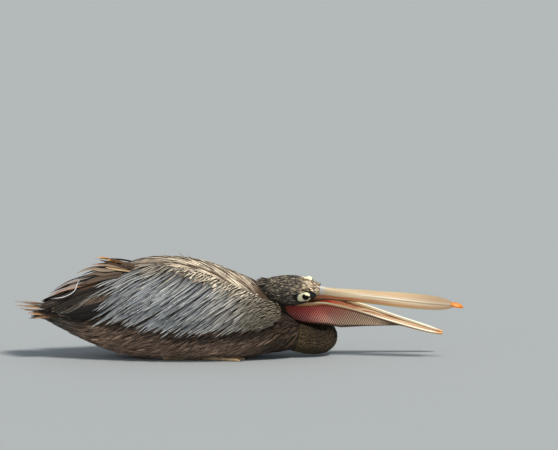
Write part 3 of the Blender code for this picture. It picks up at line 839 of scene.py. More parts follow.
def makeHeadCoat():
    # tiny feathers round the bare patch, which stand up pale over the brow, and a crest at the nape
    rng = np.random.default_rng(8)
    a, b = scatter(headForm, (-0.108, 0.0385), (0, 2 * math.pi), headTract["spacing"], rng)
    points = headForm(a, b)
    x, _, z = toHead(points).T
    keep = (onPatch(x, z) > 0.92) & ((x < 0.02) | (z > 0.004 - 0.5 * (x - 0.02)))
    a, b, points, x, z = kept(keep, a, b, points, x, z)
    brow = ease(-0.01, 0.02, x) * ease(-0.02, 0.0, z)
    ways = spread(-1, 0 * brow, 0.95 * brow - 0.1) @ headTurn.T
    tint = headColour(points) * rng.lognormal(-1.2, 0.9, (len(a), 1))
    pale = rng.random(len(a)) < 0.2 * ease(-0.035, -0.015, z) + 0.45 * brow
    dark = blend(np.minimum(tint, 0.5), linear(104, 74, 46), 0.7 * brow)
    tint = np.where(pale[:, None], blend(tint, linear(236, 214, 180), 0.5 + 0.5 * brow), dark)
    size = 1 + 0.6 * ease(-0.07, -0.108, a) + 0.25 * brow
    size = size * np.where(onPatch(x - 0.008, z + 0.002) < 1, 0.4, 1) * (1 - 0.45 * ease(0.022, 0.034, a))
    layFeathers("coat_head", "head_feathers", "grey_plumage", headTract, headForm, a, b, lambda p: ways,
                tint, paler(tint, 0.25, 224, 210, 190), rng, size, np.minimum(size, 1) ** 0.7)

    count = crest["count"]
    root, _, _, outward = facing(headForm, rng.uniform(crest["from"], crest["to"], count),
                                 rng.uniform(0.0, 0.6 * math.pi, count))
    way = unit(headTurn @ (-1, 0.1, -0.12) + rng.normal(0, 0.1, (count, 3)))
    tint = np.outer(rng.lognormal(-0.5, 0.4, count), colours["crown"])
    mesh = looseFeathers("crest", dict(headTract, barbs=100), root, outward, way, crest, rng, tint)
    addFeathers(mesh, "crest_feathers", headTract, "grey_plumage")


strays = {"count": 7, "length": 0.036, "width": 0.005, "lift": 0.01, "from": -0.135, "to": -0.085}


def makeStrays():
    # a few mantle feathers ruffled up at the top of the back
    rng = np.random.default_rng(9)
    count = strays["count"]
    root, _, _, outward = facing(trunkForm, rng.uniform(strays["from"], strays["to"], count),
                                 rng.uniform(1.35, 2.1, count))
    way = unit(np.array((-1, -0.1, 0.1)) + rng.normal(0, 0.12, (count, 3)))
    tint = paler(bodyColour(root), 0.3, 240, 226, 200)
    mesh = looseFeathers("ruffle", dict(plume, closes=0.3), root, outward, way, strays, rng, tint)
    addFeathers(mesh, "ruffle_feathers", plume, "brown_plumage")


covertTract = dict(
    plume, length=0.076, width=0.0102, vary=0.16, rows=11, camber=0.26, roll=8, lean=9, stray=0.05,
    root=0.0062, tip=(-0.0005, 0.0012), opens=0.15, closes=0.25, blunt=1.25, edgeShare=1.2, gap=1.5,
    gapTo=0.5, barbs=420, rootShade=0.3, tipFrom=0.6, tipShare=0.6, flowStep=0.023, acrossStep=0.0067,
    slant=42,
)
bendTract = dict(
    covertTract, length=0.027, width=0.005, vary=0.2, rows=5, columns=3, camber=0.22, roll=5, lean=4,
    stray=0.06, root=0.0045, tip=(-0.0003, 0.0005), edgeShare=1.0, gap=1.3, tipShare=0.3, barbs=160,
    flowStep=0.0085, acrossStep=0.0036,
)
ridgeTract = dict(
    covertTract, length=0.021, width=0.005, vary=0.25, rows=6, camber=0.3, roll=10, lean=10, stray=0.08,
    root=0.0058, tip=(-0.0014, 0.0003), edgeShare=0.9, gap=1.0, gapTo=0.55, barbs=160, flowStep=0.0095,
    acrossStep=0.0048,
)
rim = {"count": 340, "length": 0.009, "width": 0.004, "lift": 0.0028}


def makeRim(skin):
    # short feathers over the wings' front rims: each runs out and back over the skin that it stands on
    rng = np.random.default_rng(10)
    points, outward = pointsOf(skin.data), pointsOf(skin.data, "normal")
    x, y, z = (points - bodyShift).T
    onRim = (x > 0.075) & (x < 0.099) & (np.abs(y) > 0.05) & (z > 0.09) & (z < 0.146)
    rims = rng.choice(np.flatnonzero(onRim & (outward[:, 0] > 0.45)), rim["count"], replace=False)
    root, outward = kept(rims, points, outward)
    way = spread(-0.7, 0.75 * np.sign(root[:, 1]), -0.2) + rng.normal(0, 0.08, root.shape)
    way = unit(way - outward * (outward * way).sum(axis=1, keepdims=True))
    tint = colours["bend"] * oneEach(0.7, 1.1, len(root), rng)
    mesh = looseFeathers("coat_rim", bendTract, root, outward, way, rim, rng, tint)
    addFeathers(mesh, "rim_feathers", bendTract, "grey_plumage")


# Degrees that the wing's feathers lean down and back, by place along it
wingLean = [(-0.48, 36), (-0.34, 33), (-0.26, 35), (-0.18, 38), (-0.09, 39), (0, 39), (0.05, 36),
            (0.085, 28)]


def wingSlope(x, z):
    # how steeply the wing's feathers run down and back, in radians: steepest under the upper edge amidships,
    # easier towards the tail, flat at the bend's foot
    _, upTop, _, upLow, _ = lookUp(wingTable, x - bodyShift[0])
    down = (upTop - z) / (upTop - upLow)
    slope = np.interp(x, *np.transpose(wingLean))
    slope = slope + 13 * ease(0.5, 0.05, down) * (ease(-0.24, -0.14, x) * 1.6 - 0.6) * ease(0.09, 0.05, x)
    return np.radians(slope * (1 - 0.75 * ease(0.45, 0.95, down) * ease(0.0, 0.08, x)))


def wingRoots(tract, rng, low, high):
    # a staggered lattice laid at a slant over the wing's flattened face, with some unevenness
    slant = math.radians(tract["slant"])
    flow, across = np.meshgrid(np.arange(-60, 60), np.arange(-120, 120), indexing="ij")
    flow = (flow + 0.5 * (across % 2) + rng.uniform(-0.3, 0.3, flow.shape)) * tract["flowStep"]
    across = (across + rng.uniform(-0.2, 0.2, across.shape)) * tract["acrossStep"]
    x = (-flow * math.cos(slant) - across * math.sin(slant)).ravel()
    drop = (flow * math.sin(slant) - across * math.cos(slant)).ravel()
    outTop, upTop, outLow, upLow, _ = lookUp(wingTable, x)
    down = drop / (1.06 * np.hypot(outLow - outTop, upLow - upTop))
    return kept((x < 0.103) & (x > -0.4) & (down > low) & (down < high), x, down)


def fitDrop(tract, slope, x, down, size, ragged, rng):
    # feathers near the wing's lower edge are shortened or stretched so that their tips form that edge;
    # gives the sizes, and which feathers are too near the edge to be kept
    outTop, upTop, outLow, upLow, _ = lookUp(wingTable, x)
    drop = tract["length"] * size * np.sin(slope) / (1.06 * np.hypot(outLow - outTop, upLow - upTop))
    room = (1.0 + ragged * rng.uniform(-1, 1, len(x)) - down) / np.maximum(drop, 0.01)
    return size * np.where(room < 1.25, np.clip(room, 0.1, 1.18), 1), room > 0.62


def makeWingTract(name, tract, side, x, down, size, tint, edge, rng, ragged=0.03):
    form = wingForm(side)
    size, keep = fitDrop(tract, wingSlope(x, form(x, down)[:, 2]), x, down, size, ragged, rng)
    x, down, size, tint, edge = kept(keep, x, down, size, tint, edge)

    def heading(p):
        slope = wingSlope(p[:, 0], p[:, 2])
        return spread(-np.cos(slope), side * 0.35 * np.sin(slope), -0.93 * np.sin(slope))

    layFeathers(name, name + "_finish", "grey_plumage", tract, form, x, down, heading, tint, edge, rng, size,
                1.0, side)


# Where the coverts' field ends above, places along the wing and down it
fieldEdge = [(-0.42, 0.42), (-0.375, 0.36), (-0.343, 0.29), (-0.31, 0.21), (-0.28, 0.12), (-0.247, 0.05),
             (-0.2, -0.1)]


def inField(x, down, size, tract, side, rng):
    # whether a covert stays inside the coverts' field: below its upper edge, and its tip not too far back
    slope = wingSlope(x, wingForm(side)(x, down)[:, 2])
    _, upTop, _, upLow, _ = lookUp(wingTable, x)
    tipX = x - tract["length"] * size * np.cos(slope)
    tipDown = down + tract["length"] * size * np.sin(slope) / (upTop - upLow)
    last = -0.345 - 0.045 * ease(0.65, 0.35, tipDown) + 0.006 * rng.normal(0, 1, len(x))
    return (down > np.interp(x, *np.transpose(fieldEdge)) + 0.02) & (tipX > last)


def makeWingCoat(side, word, seed):
    # coverts over the wing's face, small feathers at its bend and pale ones along its shoulder
    rng = np.random.default_rng(seed)
    x, down = wingRoots(covertTract, rng, 0.03, 0.95)
    x, down = kept((x < 0.02 + 0.03 * rng.random(len(x))) & (x > -0.375), x, down)
    warm = ease(-0.1, 0.05, x) + 0.4 * ease(0.25, 0.0, down) + rng.normal(0, 0.15, len(x))
    tint = blend(colours["covert"], colours["covertWarm"], np.clip(warm, 0, 1))
    tint = tint * oneEach(0.75, 1.15, len(x), rng) * (1 - 0.18 * ease(-0.18, -0.28, x))[:, None]
    size = (1 - 0.35 * ease(-0.06, 0.05, x)) * (1 + 0.15 * ease(-0.2, -0.3, x))
    x, down, size, tint = kept(inField(x, down, size, covertTract, side, rng), x, down, size, tint)
    makeWingTract("coat_wing_" + word, covertTract, side, x, down, size, tint,
                  paler(tint, 0.95, 244, 242, 236), rng)

    x, down = wingRoots(bendTract, rng, 0.0, 1.0)
    x, down = kept(x > 0.005 + 0.03 * rng.random(len(x)) + 0.012 * ease(0.4, 1.0, down), x, down)
    toBend = np.clip(ease(0.02, 0.09, x) + rng.normal(0, 0.1, len(x)), 0, 1)
    tint = blend(colours["covertWarm"], colours["bend"], toBend) * oneEach(0.8, 1.12, len(x), rng)
    makeWingTract("coat_bend_" + word, bendTract, side, x, down, 1.45 - 0.8 * ease(0.02, 0.08, x), tint,
                  paler(tint, 0.75, 232, 222, 200), rng, 0.01)

    x, down = wingRoots(ridgeTract, rng, -0.03, 0.2)
    nearTop = down < 0.05 + 0.08 * ease(-0.12, 0.0, x) + 0.03 * rng.normal(0, 1, len(x))
    x, down = kept(nearTop & (x > -0.21) & (x < 0.06), x, down)
    buff = np.clip(0.75 * ease(-0.16, -0.08, x) + rng.normal(0, 0.3, len(x)), 0, 1)
    tint = blend(colours["covertWarm"], colours["mantle"], buff)
    makeWingTract("coat_shoulder_" + word, ridgeTract, side, x, down, 1 + 1.2 * ease(-0.12, -0.2, x), tint,
                  paler(tint, 0.8, 252, 244, 226), rng)


# The wing's end: single long feathers laid one by one
bladeTract = dict(
    plume, rows=22, columns=9, camber=0.24, roll=4, lean=4, opens=0.05, closes=0.62, blunt=2.2,
    edgeFrom=0.78, edgeShare=0.95, gap=0.35, shaft=0.5, barbs=900, rootShade=0.6, tipFrom=0.9, tipShare=0.4,
)
looseTract = dict(bladeTract, closes=0.5, blunt=1.7, tipFrom=0.7, tipShare=0.9, edgeFrom=0.6)
curlTract = dict(bladeTract, lean=30, shaft=0, gap=0, rootShade=0.9, opens=0.3, closes=0.7)
# Places along the wing in millimetres, down it in hundredths and above its face in millimetres, then the
# width in millimetres, colour and edge colour, from the lowest up
flightBlades = [
    # the two lowest blades, near black with dark edges: partly the black flight feathers, partly painted
    # shadow under the wing's end
    (((-290, 80, -6), (-345, 95, -5), (-400, 106, -4)), 22, (14, 11, 9), (30, 24, 19)),
    (((-290, 66, -6), (-350, 84, -5), (-420, 104, -4)), 22, (16, 12, 10), (34, 27, 21)),
    (((-300, 45, -6), (-350, 54, -4), (-387, 86, -3)), 9, (96, 90, 82), (236, 228, 212)),
    (((-300, 40, -6), (-356, 52, -4), (-393, 86, -3), (-419, 102, -3)), 9, (66, 58, 50), (206, 200, 190)),
    (((-310, 42, -6), (-375, 60, -3), (-409, 76, -2), (-428, 102, -2)), 9, (40, 32, 26), (176, 152, 120)),
    (((-310, 38, -5), (-375, 53, -3), (-420, 71, -2), (-440, 104, -2)), 9, (36, 29, 23), (190, 166, 132)),
    (((-310, 34, -5), (-381, 49, -2), (-434, 66, -1), (-452, 100, -1)), 9, (38, 30, 24), (198, 176, 142)),
    (((-300, 28, -4), (-392, 42, -1), (-446, 62, 0), (-468, 66, 0)), 17, (40, 31, 25), (52, 42, 34)),
    (((-300, 26, -4), (-392, 38, 0), (-440, 46, 1), (-470, 50, 1)), 12, (52, 42, 34), (226, 214, 192)),
]
tertialBlades = [
    (((-290, 27, -6), (-335, 31, -2), (-362, 36, 0), (-404, 40, 1)), 9, (70, 50, 34), (16, 12, 9)),
    (((-320, 22, -5), (-374, 24, 1), (-400, 22, 2), (-446, 14, 3)), 19, (146, 132, 122), (166, 108, 62)),
    (((-330, 12, -4), (-380, 12, 2), (-412, 6, 3), (-436, 2, 3)), 10, (160, 150, 142), (60, 48, 38)),
    (((-270, 17, -6), (-315, 21, 0), (-346, 25, 4), (-376, 27, 5)), 20, (96, 80, 66), (66, 50, 38)),
    (((-270, 12, -5), (-313, 17, 2), (-340, 12, 4), (-372, 12, 5)), 11, (128, 108, 92), (78, 62, 48)),
    (((-270, 8, -4), (-313, 10, 3), (-350, 0, 4), (-380, -3, 4)), 13, (150, 132, 116), (206, 180, 150)),
    (((-260, 8, -4), (-300, 4, 3), (-344, -7, 4)), 9, (140, 122, 104), (196, 134, 84)),
    (((-255, 12, -5), (-285, 11, 2), (-314, 5, 3)), 6, (190, 160, 116), (236, 212, 168)),
    (((-245, 8, -6), (-290, 3, 2), (-326, -10, 4)), 9, (70, 50, 32), (40, 28, 18)),
    (((-245, 5, -6), (-280, -1, 3), (-318, -12, 4.5)), 8, (96, 72, 48), (60, 42, 26)),
    (((-288, -3, -4), (-305, -7, 4.5), (-335, -17, 5.5)), 6.5, (206, 138, 62), (236, 166, 84)),
]
curlBlade = [
    (((-366, 13, 7), (-375, 24, 9), (-380, 38, 9), (-392, 46, 9), (-414, 48, 8), (-444, 38, 7)),
     5.2, (255, 255, 255), (255, 255, 255)),
]


def makeWingEnd(side, word, seed):
    # dark flight feathers lowest, the two lowest also painted shadow, tertials over them and one white curl
    # on top
    rng = np.random.default_rng(seed)
    layBlades("flight_" + word, "flight_finish_" + word, "dark_plumage", bladeTract, flightBlades, rng, side,
              "primaries_" + word)
    layBlades("tertials_" + word, "tertial_finish_" + word, "brown_plumage", looseTract, tertialBlades, rng,
              side)
    layBlades("curl_" + word, "curl_finish_" + word, "grey_plumage", curlTract, curlBlade, rng, side)


tail = {
    "feathers": 24, "root": -0.388, "tip": -0.532, "sideCut": 0.032, "halfWidth": 0.056, "rootShare": 0.5,
    "crown": 0.1245, "droop": 0.022, "width": 0.011, "uneven": 0.026, "stray": 0.0035, "lift": 0.008,
}


tailTract = dict(
    bladeTract, rows=16, columns=7, closes=0.45, blunt=1.3, tipFrom=0.55, tipShare=0.9, shaft=0.7,
)


def makeTail():
    # a fan of pointed blades arched across; the middle ones are longest and lie on top
    rng = np.random.default_rng(21)
    off = np.linspace(-1, 1, tail["feathers"])
    tip = tail["tip"] + tail["sideCut"] * off**2 + tail["uneven"] * rng.random(len(off)) ** 1.5
    share = steps(tailTract["rows"])[None, :]
    x = tail["root"] + (tip[:, None] - tail["root"]) * share
    y = tail["halfWidth"] * off[:, None] * (tail["rootShare"] + (1 - tail["rootShare"]) * share)
    z = tail["crown"] - tail["droop"] * (off**2)[:, None] + 0.0014 * (0.5 - np.abs(off))[:, None]
    z = z + 0.0006 * (np.arange(len(off)) % 2)[:, None]
    z = z + (tail["lift"] * (1 - off**2) + rng.normal(0, tail["stray"], len(off)))[:, None] * share**3
    spine = spread(x, y, z) + bodyShift
    outward = unit(spread(0, 0.7 * off[:, None], 1 + 0 * x))
    tint = blend(linear(74, 60, 48), linear(54, 44, 38), rng.random(len(off)))
    edge = blend(linear(196, 140, 84), linear(150, 112, 80), rng.random(len(off)))
    mesh = vanes("tail_feathers", tailTract, spine, outward, np.full(len(off), tail["width"]), tint, edge,
                 strips(len(off)), rng)
    addFeathers(mesh, "tail_finish", tailTract, "dark_plumage", "tail")


upperBill = {
    # in the head's frame: along, ridge, edge height, half width
    "stations": [
        (23.5, 12.5, -21.5, 19.2), (30, 11.8, -21.5, 19), (43, 6.6, -20.2, 17.8), (60, 3, -18.2, 17.2),
        (85, 0.4, -16, 17.2), (110, -0.6, -13.2, 17.4), (140, -0.8, -12.2, 18), (170, 0.2, -11.8, 18.6),
        (230, -0.8, -9.8, 20.5), (290, -2, -7.8, 20.2), (325, -2.2, -7.4, 16.5), (344, -3, -7.6, 10.5),
        (351, -4.2, -7.4, 6.2),
    ],
    "rounding": 1.6, "grooveAt": 0.4, "grooveWidth": 0.09, "groove": 0.0009, "palate": 0.0022,
}
nail = {"start": 0.346, "end": 0.374, "drop": 0.0095, "half": 0.006, "point": 0.0012, "thick": 0.0027}


def layShell(x, around):
    # the map of a shell: along it and a value round it, with 0 at the middle of each end
    return np.vstack([spread(x[:, None], around).reshape(-1, 2), [(x[0], 0), (x[-1], 0)]])


def billFinish():
    # horn streaked by noise drawn out along it, with a painted highlight as a pale line beside the ridge,
    # rusty towards the near edge, grey at the root's plate and along the groove in front
    made = Finish("bill_horn", 0.4)
    made.coat(0.15, 0.25)
    u, v = made.uv()
    side, near = abs(v), v.rise(-0.1, -0.4)
    grain = made.streaks((9, 420, 1), 4)
    streak = made.streaks((16, 11, 1), 4)
    band = made.streaks((7, 5, 1), 3)
    wash = (v + streak * 0.5).rise(0.2, 0.45) * (v + band * 0.3).rise(0.95, 0.75) * u.rise(0.09, 0.15)
    plate = (u + streak * 0.016).rise(0.062, 0.046) * (side + streak * 0.3).rise(0.85, 0.6)
    groove = (1 - abs(side - 0.38 + streak * 0.04).rise(0.0, 0.1)) * u.rise(0.27, 0.345)
    cut = made.mix(u.rise(0.1, 0.15), linear(90, 54, 24), linear(176, 150, 84))
    colour = made.layered(
        linear(206, 195, 166),
        (grain.rise(0.35, 0.7), 178, 154, 116),
        (streak.rise(0.5, 0.62) * 0.65, 186, 134, 94),
        (wash * 0.75, 194, 160, 124),
        # painted highlight: a pale line along the rounded top, just to the near side of the ridge
        (abs(v + 0.16 + streak * 0.06).rise(0.1, 0.03) * u.rise(0.1, 0.16) * 0.8, 238, 230, 214),
        ((side + band * 0.6).rise(0.86, 1.12) * 0.8 * near, 176, 112, 66),
        ((v + band * 0.2).rise(0.7, 1.0) * 0.6, 190, 176, 124),
        ((side + streak * 0.4).rise(0.72, 0.86) * u.rise(0.24, 0.1) * near * 0.9, 172, 102, 58),
        ((side + grain * 0.3).rise(0.98, 1.1) * near * u.rise(0.05, 0.08) * 0.7, 198, 160, 112),
        ((grain * 0.1 - v).rise(0.9, 0.98), cut),
        (plate * 0.9, 196, 194, 194),
        (groove * 0.9, 84, 88, 102),
        (u.rise(0.2, 0.33) * 0.75, 146, 122, 96),
    )
    return made.finish(colour, made.bump(grain, 0.3, 0.0004), grain * 0.15 + 0.4)


def makeUpperBill():
    # a ridged roof, 1 - |q|^1.6 across, with a groove beside the ridge, over a shallow palate
    table = tableOf(upperBill["stations"])
    roof = np.linspace(1, -1, 61)
    q = np.concatenate([roof, roof[-2:0:-1]])
    x = np.linspace(table[0, 0], table[-1, 0], 170)[:, None]
    ridge, edge, half = lookUp(table, x)
    over = edge + (ridge - edge) * (1 - np.abs(q) ** upperBill["rounding"])
    groove = upperBill["groove"] * ease(0.1, 0.26, x) * ease(0.352, 0.3, x)
    over = over - groove * np.exp(-(((np.abs(q) - upperBill["grooveAt"]) / upperBill["grooveWidth"]) ** 2))
    under = edge - upperBill["palate"] * (1 - q**2)
    ring = spread(x, half * q, np.where(np.arange(len(q)) < len(roof), over, under))
    mesh = meshOf("upper_mandible", *shell(fromHead(ring)))
    mapMesh(mesh, "lay", layShell(x[:, 0], q))
    addPiece(mesh, billFinish(), "horn", "upper_bill")
    makeNail((table[-1, 1] + table[-1, 2]) / 2 + 0.0004)
    print("upper bill and nail")


def makeNail(height):
    # a hook, ovals carried along a quarter turn forwards and down, which narrow as 1 - t^2.2
    share = steps(40)
    quarter = 0.5 * math.pi * share
    line = np.column_stack([nail["start"] + (nail["end"] - nail["start"]) * np.sin(quarter), 0 * share,
                            height - nail["drop"] * (1 - np.cos(quarter))])
    wide = nail["half"] * (1 - share**2.2) * (0.55 + 0.45 * ease(0, 0.25, share)) + nail["point"]
    thick = nail["thick"] * (1 - 0.62 * share)
    up = np.cross(unit(np.gradient(line, axis=0)), (0.0, 1.0, 0.0))
    turn = circle(28)
    ring = line[:, None] + np.array((0, 1.0, 0)) * (wide[:, None] * np.cos(turn))[..., None]
    ring = ring + up[:, None] * (thick[:, None] * np.sin(turn))[..., None]
    made = Finish("nail_horn", 0.35)
    made.coat(0.1, 0.3)
    wear = made.noise(300, 3)
    colour = made.layered(linear(224, 130, 3), (wear.rise(0.4, 0.75), 180, 84, 2))
    finish = made.finish(colour, None, wear * 0.2 + 0.38)
    addPiece(meshOf("nail", *shell(fromHead(ring))), finish, "orange_horn", "bill_nail")


jaw = {
    # in the head's frame: along, height, half spread, half height, half thickness
    "stations": [
        (-22, -43, 24, 5, 2.8), (15, -35, 23.2, 6.4, 3.2), (40, -32, 20, 6.4, 3.2),
        (58, -35.8, 16.8, 6.2, 3.1), (85, -48.2, 12.5, 5.8, 3), (115, -60, 10.2, 5.5, 2.9),
        (150, -72.7, 10.4, 5, 2.8), (185, -87.1, 10.1, 4.6, 2.7), (220, -100.9, 9.2, 4.2, 2.6),
        (255, -113.5, 8.4, 3.8, 2.6), (290, -125.5, 7, 3.4, 2.6), (315, -133.5, 4.5, 3, 2.6),
        (329, -136.2, 2.4, 2.6, 2.4),
    ],
}
pouch = {
    # along the head's frame, and how far the skin hangs
    "sag": [
        (-82, 20), (-70, 30), (-52, 40), (-30, 49), (4, 57.5), (36, 62), (60, 59.8), (85, 56.5), (112, 47.3),
        (150, 34), (200, 16.4), (235, 5), (270, 1.4), (324, 1.2),
    ],
    "fullness": (2.2, 0.8), "wrinklePitch": 0.0044, "wrinkleDepth": 0.0006, "wrinkleLean": 61,
    "thickness": 0.001,
}
lining = {
    "dip": [
        (-20, 44), (40, 52), (85, 47), (118, 34), (140, 13), (165, 6.5), (210, 4), (250, 1.4), (270, 0.2),
        (322, 0.1),
    ],
    "inward": 0.0045,
}
jawTable, sagTable, dipTable = (tableOf(rows) for rows in (jaw["stations"], pouch["sag"], lining["dip"]))


def makeLowerBill():
    # two rami, each an oval tube with a sharper upper lip, bowed apart behind and meeting at the tip
    x = np.linspace(jawTable[0, 0], jawTable[-1, 0], 120)
    height, out, tall, thick = (found[:, None] for found in lookUp(jawTable, x))
    turn = circle(24)
    shells, lays = [], []
    for side in (-1, 1):
        across = thick * np.cos(turn) * (1 - 0.25 * np.sin(turn))
        ring = spread(x[:, None], side * out + across, height + tall * np.sin(turn))
        shells.append(shell(fromHead(ring)))
        inner = side * np.cos(turn) < -0.05
        lays.append(layShell(x, np.where(inner, 0.75 + 0.25 * np.sin(turn), np.sin(turn))))
    mesh = meshOf("rami", *joined(shells))
    mapMesh(mesh, "lay", np.vstack(lays))
    made = Finish("ramus_horn", 0.4, 0.45)
    u, v = made.uv()
    grain = made.streaks((30, 3, 1), 4)
    worn = v + grain * 0.3
    lip = worn.rise(0.55, 0.8)
    colour = made.layered(
        linear(182, 110, 66),
        (lip, 255, 250, 228),
        # painted shade: the ramus's underside dark brown
        (worn.rise(0.1, -0.5), 96, 44, 24),
        # painted shadow: the outer side below the lip dark brown from 0.12 to 0.27 m along
        (worn.rise(0.6, 0.3) * u.rise(0.1, 0.14) * u.rise(0.285, 0.255) * 0.9, 64, 36, 18),
        # the lip warmer cream towards the gape: partly its tone, partly painted sunlight where the upper
        # bill's shadow falls
        (u.rise(0.2, 0.09) * lip, 255, 232, 184),
        (u.rise(0.055, 0.015) * 0.9, 190, 150, 104),
        (u.rise(0.18, 0.3) * v.rise(0.7, 0.1), 224, 160, 70),
        (u.rise(0.3, 0.325) * 0.8, 224, 150, 50),
    )
    addPiece(mesh, made.finish(colour, made.bump(grain, 0.3, 0.0003)), "horn", "lower_bill")
    print("lower bill")


def slung(table, rows, places, inward=0):
    # plumb curves slung between the rami, as deep as the table says times (1 - |2w - 1|^a)^b
    x, across = np.meshgrid(np.linspace(table[0, 0], table[-1, 0], rows), places, indexing="ij")
    height, out, tall, _ = lookUp(jawTable, x)
    inner, outer = pouch["fullness"]
    hang = (1 - np.abs(2 * across - 1) ** inner) ** outer
    inward = np.minimum(inward, 0.4 * out) * ease(0, 0.03, np.minimum(across, 1 - across))
    rim = fromHead(spread(x, (2 * across - 1) * (out - inward), height - 0.85 * tall))
    return x, across, rim - spread(0, 0, np.interp(x, *table.T) * hang)


def makePouch():
    # the slung skin, wrinkled as the sine of the way across slanting lines, with painted shade in the
    # wrinkles' troughs, along the rims, along the bottom and at the front
    x, across, points = slung(sagTable, 470, 0.5 - 0.5 * np.cos(math.pi * steps(91)))
    lean = math.radians(pouch["wrinkleLean"])
    lateral = points[..., 0] * math.sin(lean) - points[..., 2] * math.cos(lean)
    lateral = lateral + 0.0006 * np.sin(70 * points[..., 2]) + 0.0004 * np.sin(190 * points[..., 0])
    out = unit(np.cross(np.gradient(points, axis=1), np.gradient(points, axis=0)))
    fade = ease(0.0, 0.006, across) * ease(1.0, 0.994, across) * ease(0.258, 0.236, x)
    wave = np.sin(2 * math.pi * lateral / pouch["wrinklePitch"])
    points = points + out * (pouch["wrinkleDepth"] * wave * fade)[..., None]
    mesh = meshOf("pouch_skin", points, gridFaces(*x.shape))
    mapMesh(mesh, "lay", spread(x, across))
    mapMesh(mesh, "crease", spread(lateral / pouch["wrinklePitch"], fade))
    made = Finish("pouch_folds", 0.35)
    u, v = made.uv()
    lines, shown = made.uv("crease")
    low = 1 - abs(v * 2 - 1)
    blotch = made.noise(60, 3)
    fullTurn = 6.28319
    # painted shade: dark lines in the troughs of the wrinkles
    groove = ((lines * fullTurn + blotch * 2).sine() * 0.5 + 0.5).rise(0.62, 0.3) * shown
    colour = made.layered(
        linear(214, 128, 122),
        (u.rise(-0.01, 0.13), 232, 198, 162),
        ((low + blotch * 0.4).rise(0.5, 1.1) * u.rise(0.0, 0.1), 236, 208, 168),
        (u.rise(0.0, -0.05), 176, 120, 104),
        ((low + blotch * 0.15).rise(0.42, 0.06) * u.rise(0.16, 0.04) * 0.8, 212, 66, 54),
        (groove * 0.95, made.mix(u.rise(-0.01, 0.1), linear(84, 14, 14), linear(74, 32, 20))),
        # painted shade: a thin dark red line along the rims, where the skin tucks under the rami
        ((low + blotch * 0.01).rise(0.024, 0.008) * 0.9, 110, 24, 16),
        # painted shade: a dark band along the bottom of the pouch
        ((low + blotch * 0.06).rise(0.46, 0.62) * u.rise(-0.02, 0.03) * 0.92, 62, 32, 14),
        # painted shade: the front, a narrow strip under the rami, nearly black
        (u.rise(0.175, 0.215) * 0.85, 52, 30, 14),
    )
    finish = made.finish(colour, made.bump(made.noise(900, 3), 0.2, 0.0002), blotch * 0.2 + 0.38)
    giveWall(addPiece(mesh, finish, "pouch_skin", "pouch"), pouch["thickness"])
    print("pouch:", len(mesh.polygons), "faces")


def makeLining():
    # the mouth's floor: it follows the pouch inside, then rises to a shallow web between the rami
    x, across, points = slung(dipTable, 150, steps(41), lining["inward"])
    mesh = meshOf("mouth_lining", points, gridFaces(*x.shape)[:, ::-1])
    mapMesh(mesh, "lay", spread(x, across))
    made = Finish("mouth_lining", 0.35)
    u = made.uv()[0]
    colour = made.layered(
        linear(246, 88, 56),
        (u.rise(0.05, 0.09), 206, 142, 106),
        (u.rise(0.09, 0.16), 204, 180, 146),
        (made.streaks((8, 13, 1), 3).rise(0.44, 0.56) * u.rise(0.04, 0.08) * 0.9, 140, 80, 46),
        (u.rise(0.04, 0.022), 150, 104, 68),
    )
    giveWall(addPiece(mesh, made.finish(colour), "pouch_skin"), pouch["thickness"])
    print("mouth's lining:", len(mesh.polygons), "faces")


foot = {
    # each toe's heading off straight ahead, away from the middle, and its length
    "toes": [(-75, 0.034), (-16, 0.074), (2, 0.1), (19, 0.094)],
    "root": (-0.0855, 0.042), "ankle": (-0.09, 0.042), "heel": (-0.178, 0.044),
    "toeRadius": 0.0043, "knuckle": 0.14, "shank": 0.0062, "knob": 0.0088,
    "scute": 0.00035, "scutePitch": 0.0032, "web": 0.0032, "webThick": 0.0014, "notch": 0.12,
    "claw": 0.009, "clawRadius": 0.0017,
}


def scaly(line, radius, length):
    # a tube on the floor with scutes, |sin| along it
    share = steps(len(line))
    scutes = foot["scute"] * np.abs(np.sin(math.pi * share * length / foot["scutePitch"]))
    return tube(line + spread(0, 0, radius + foot["scute"]), radius + scutes, radius + scutes)


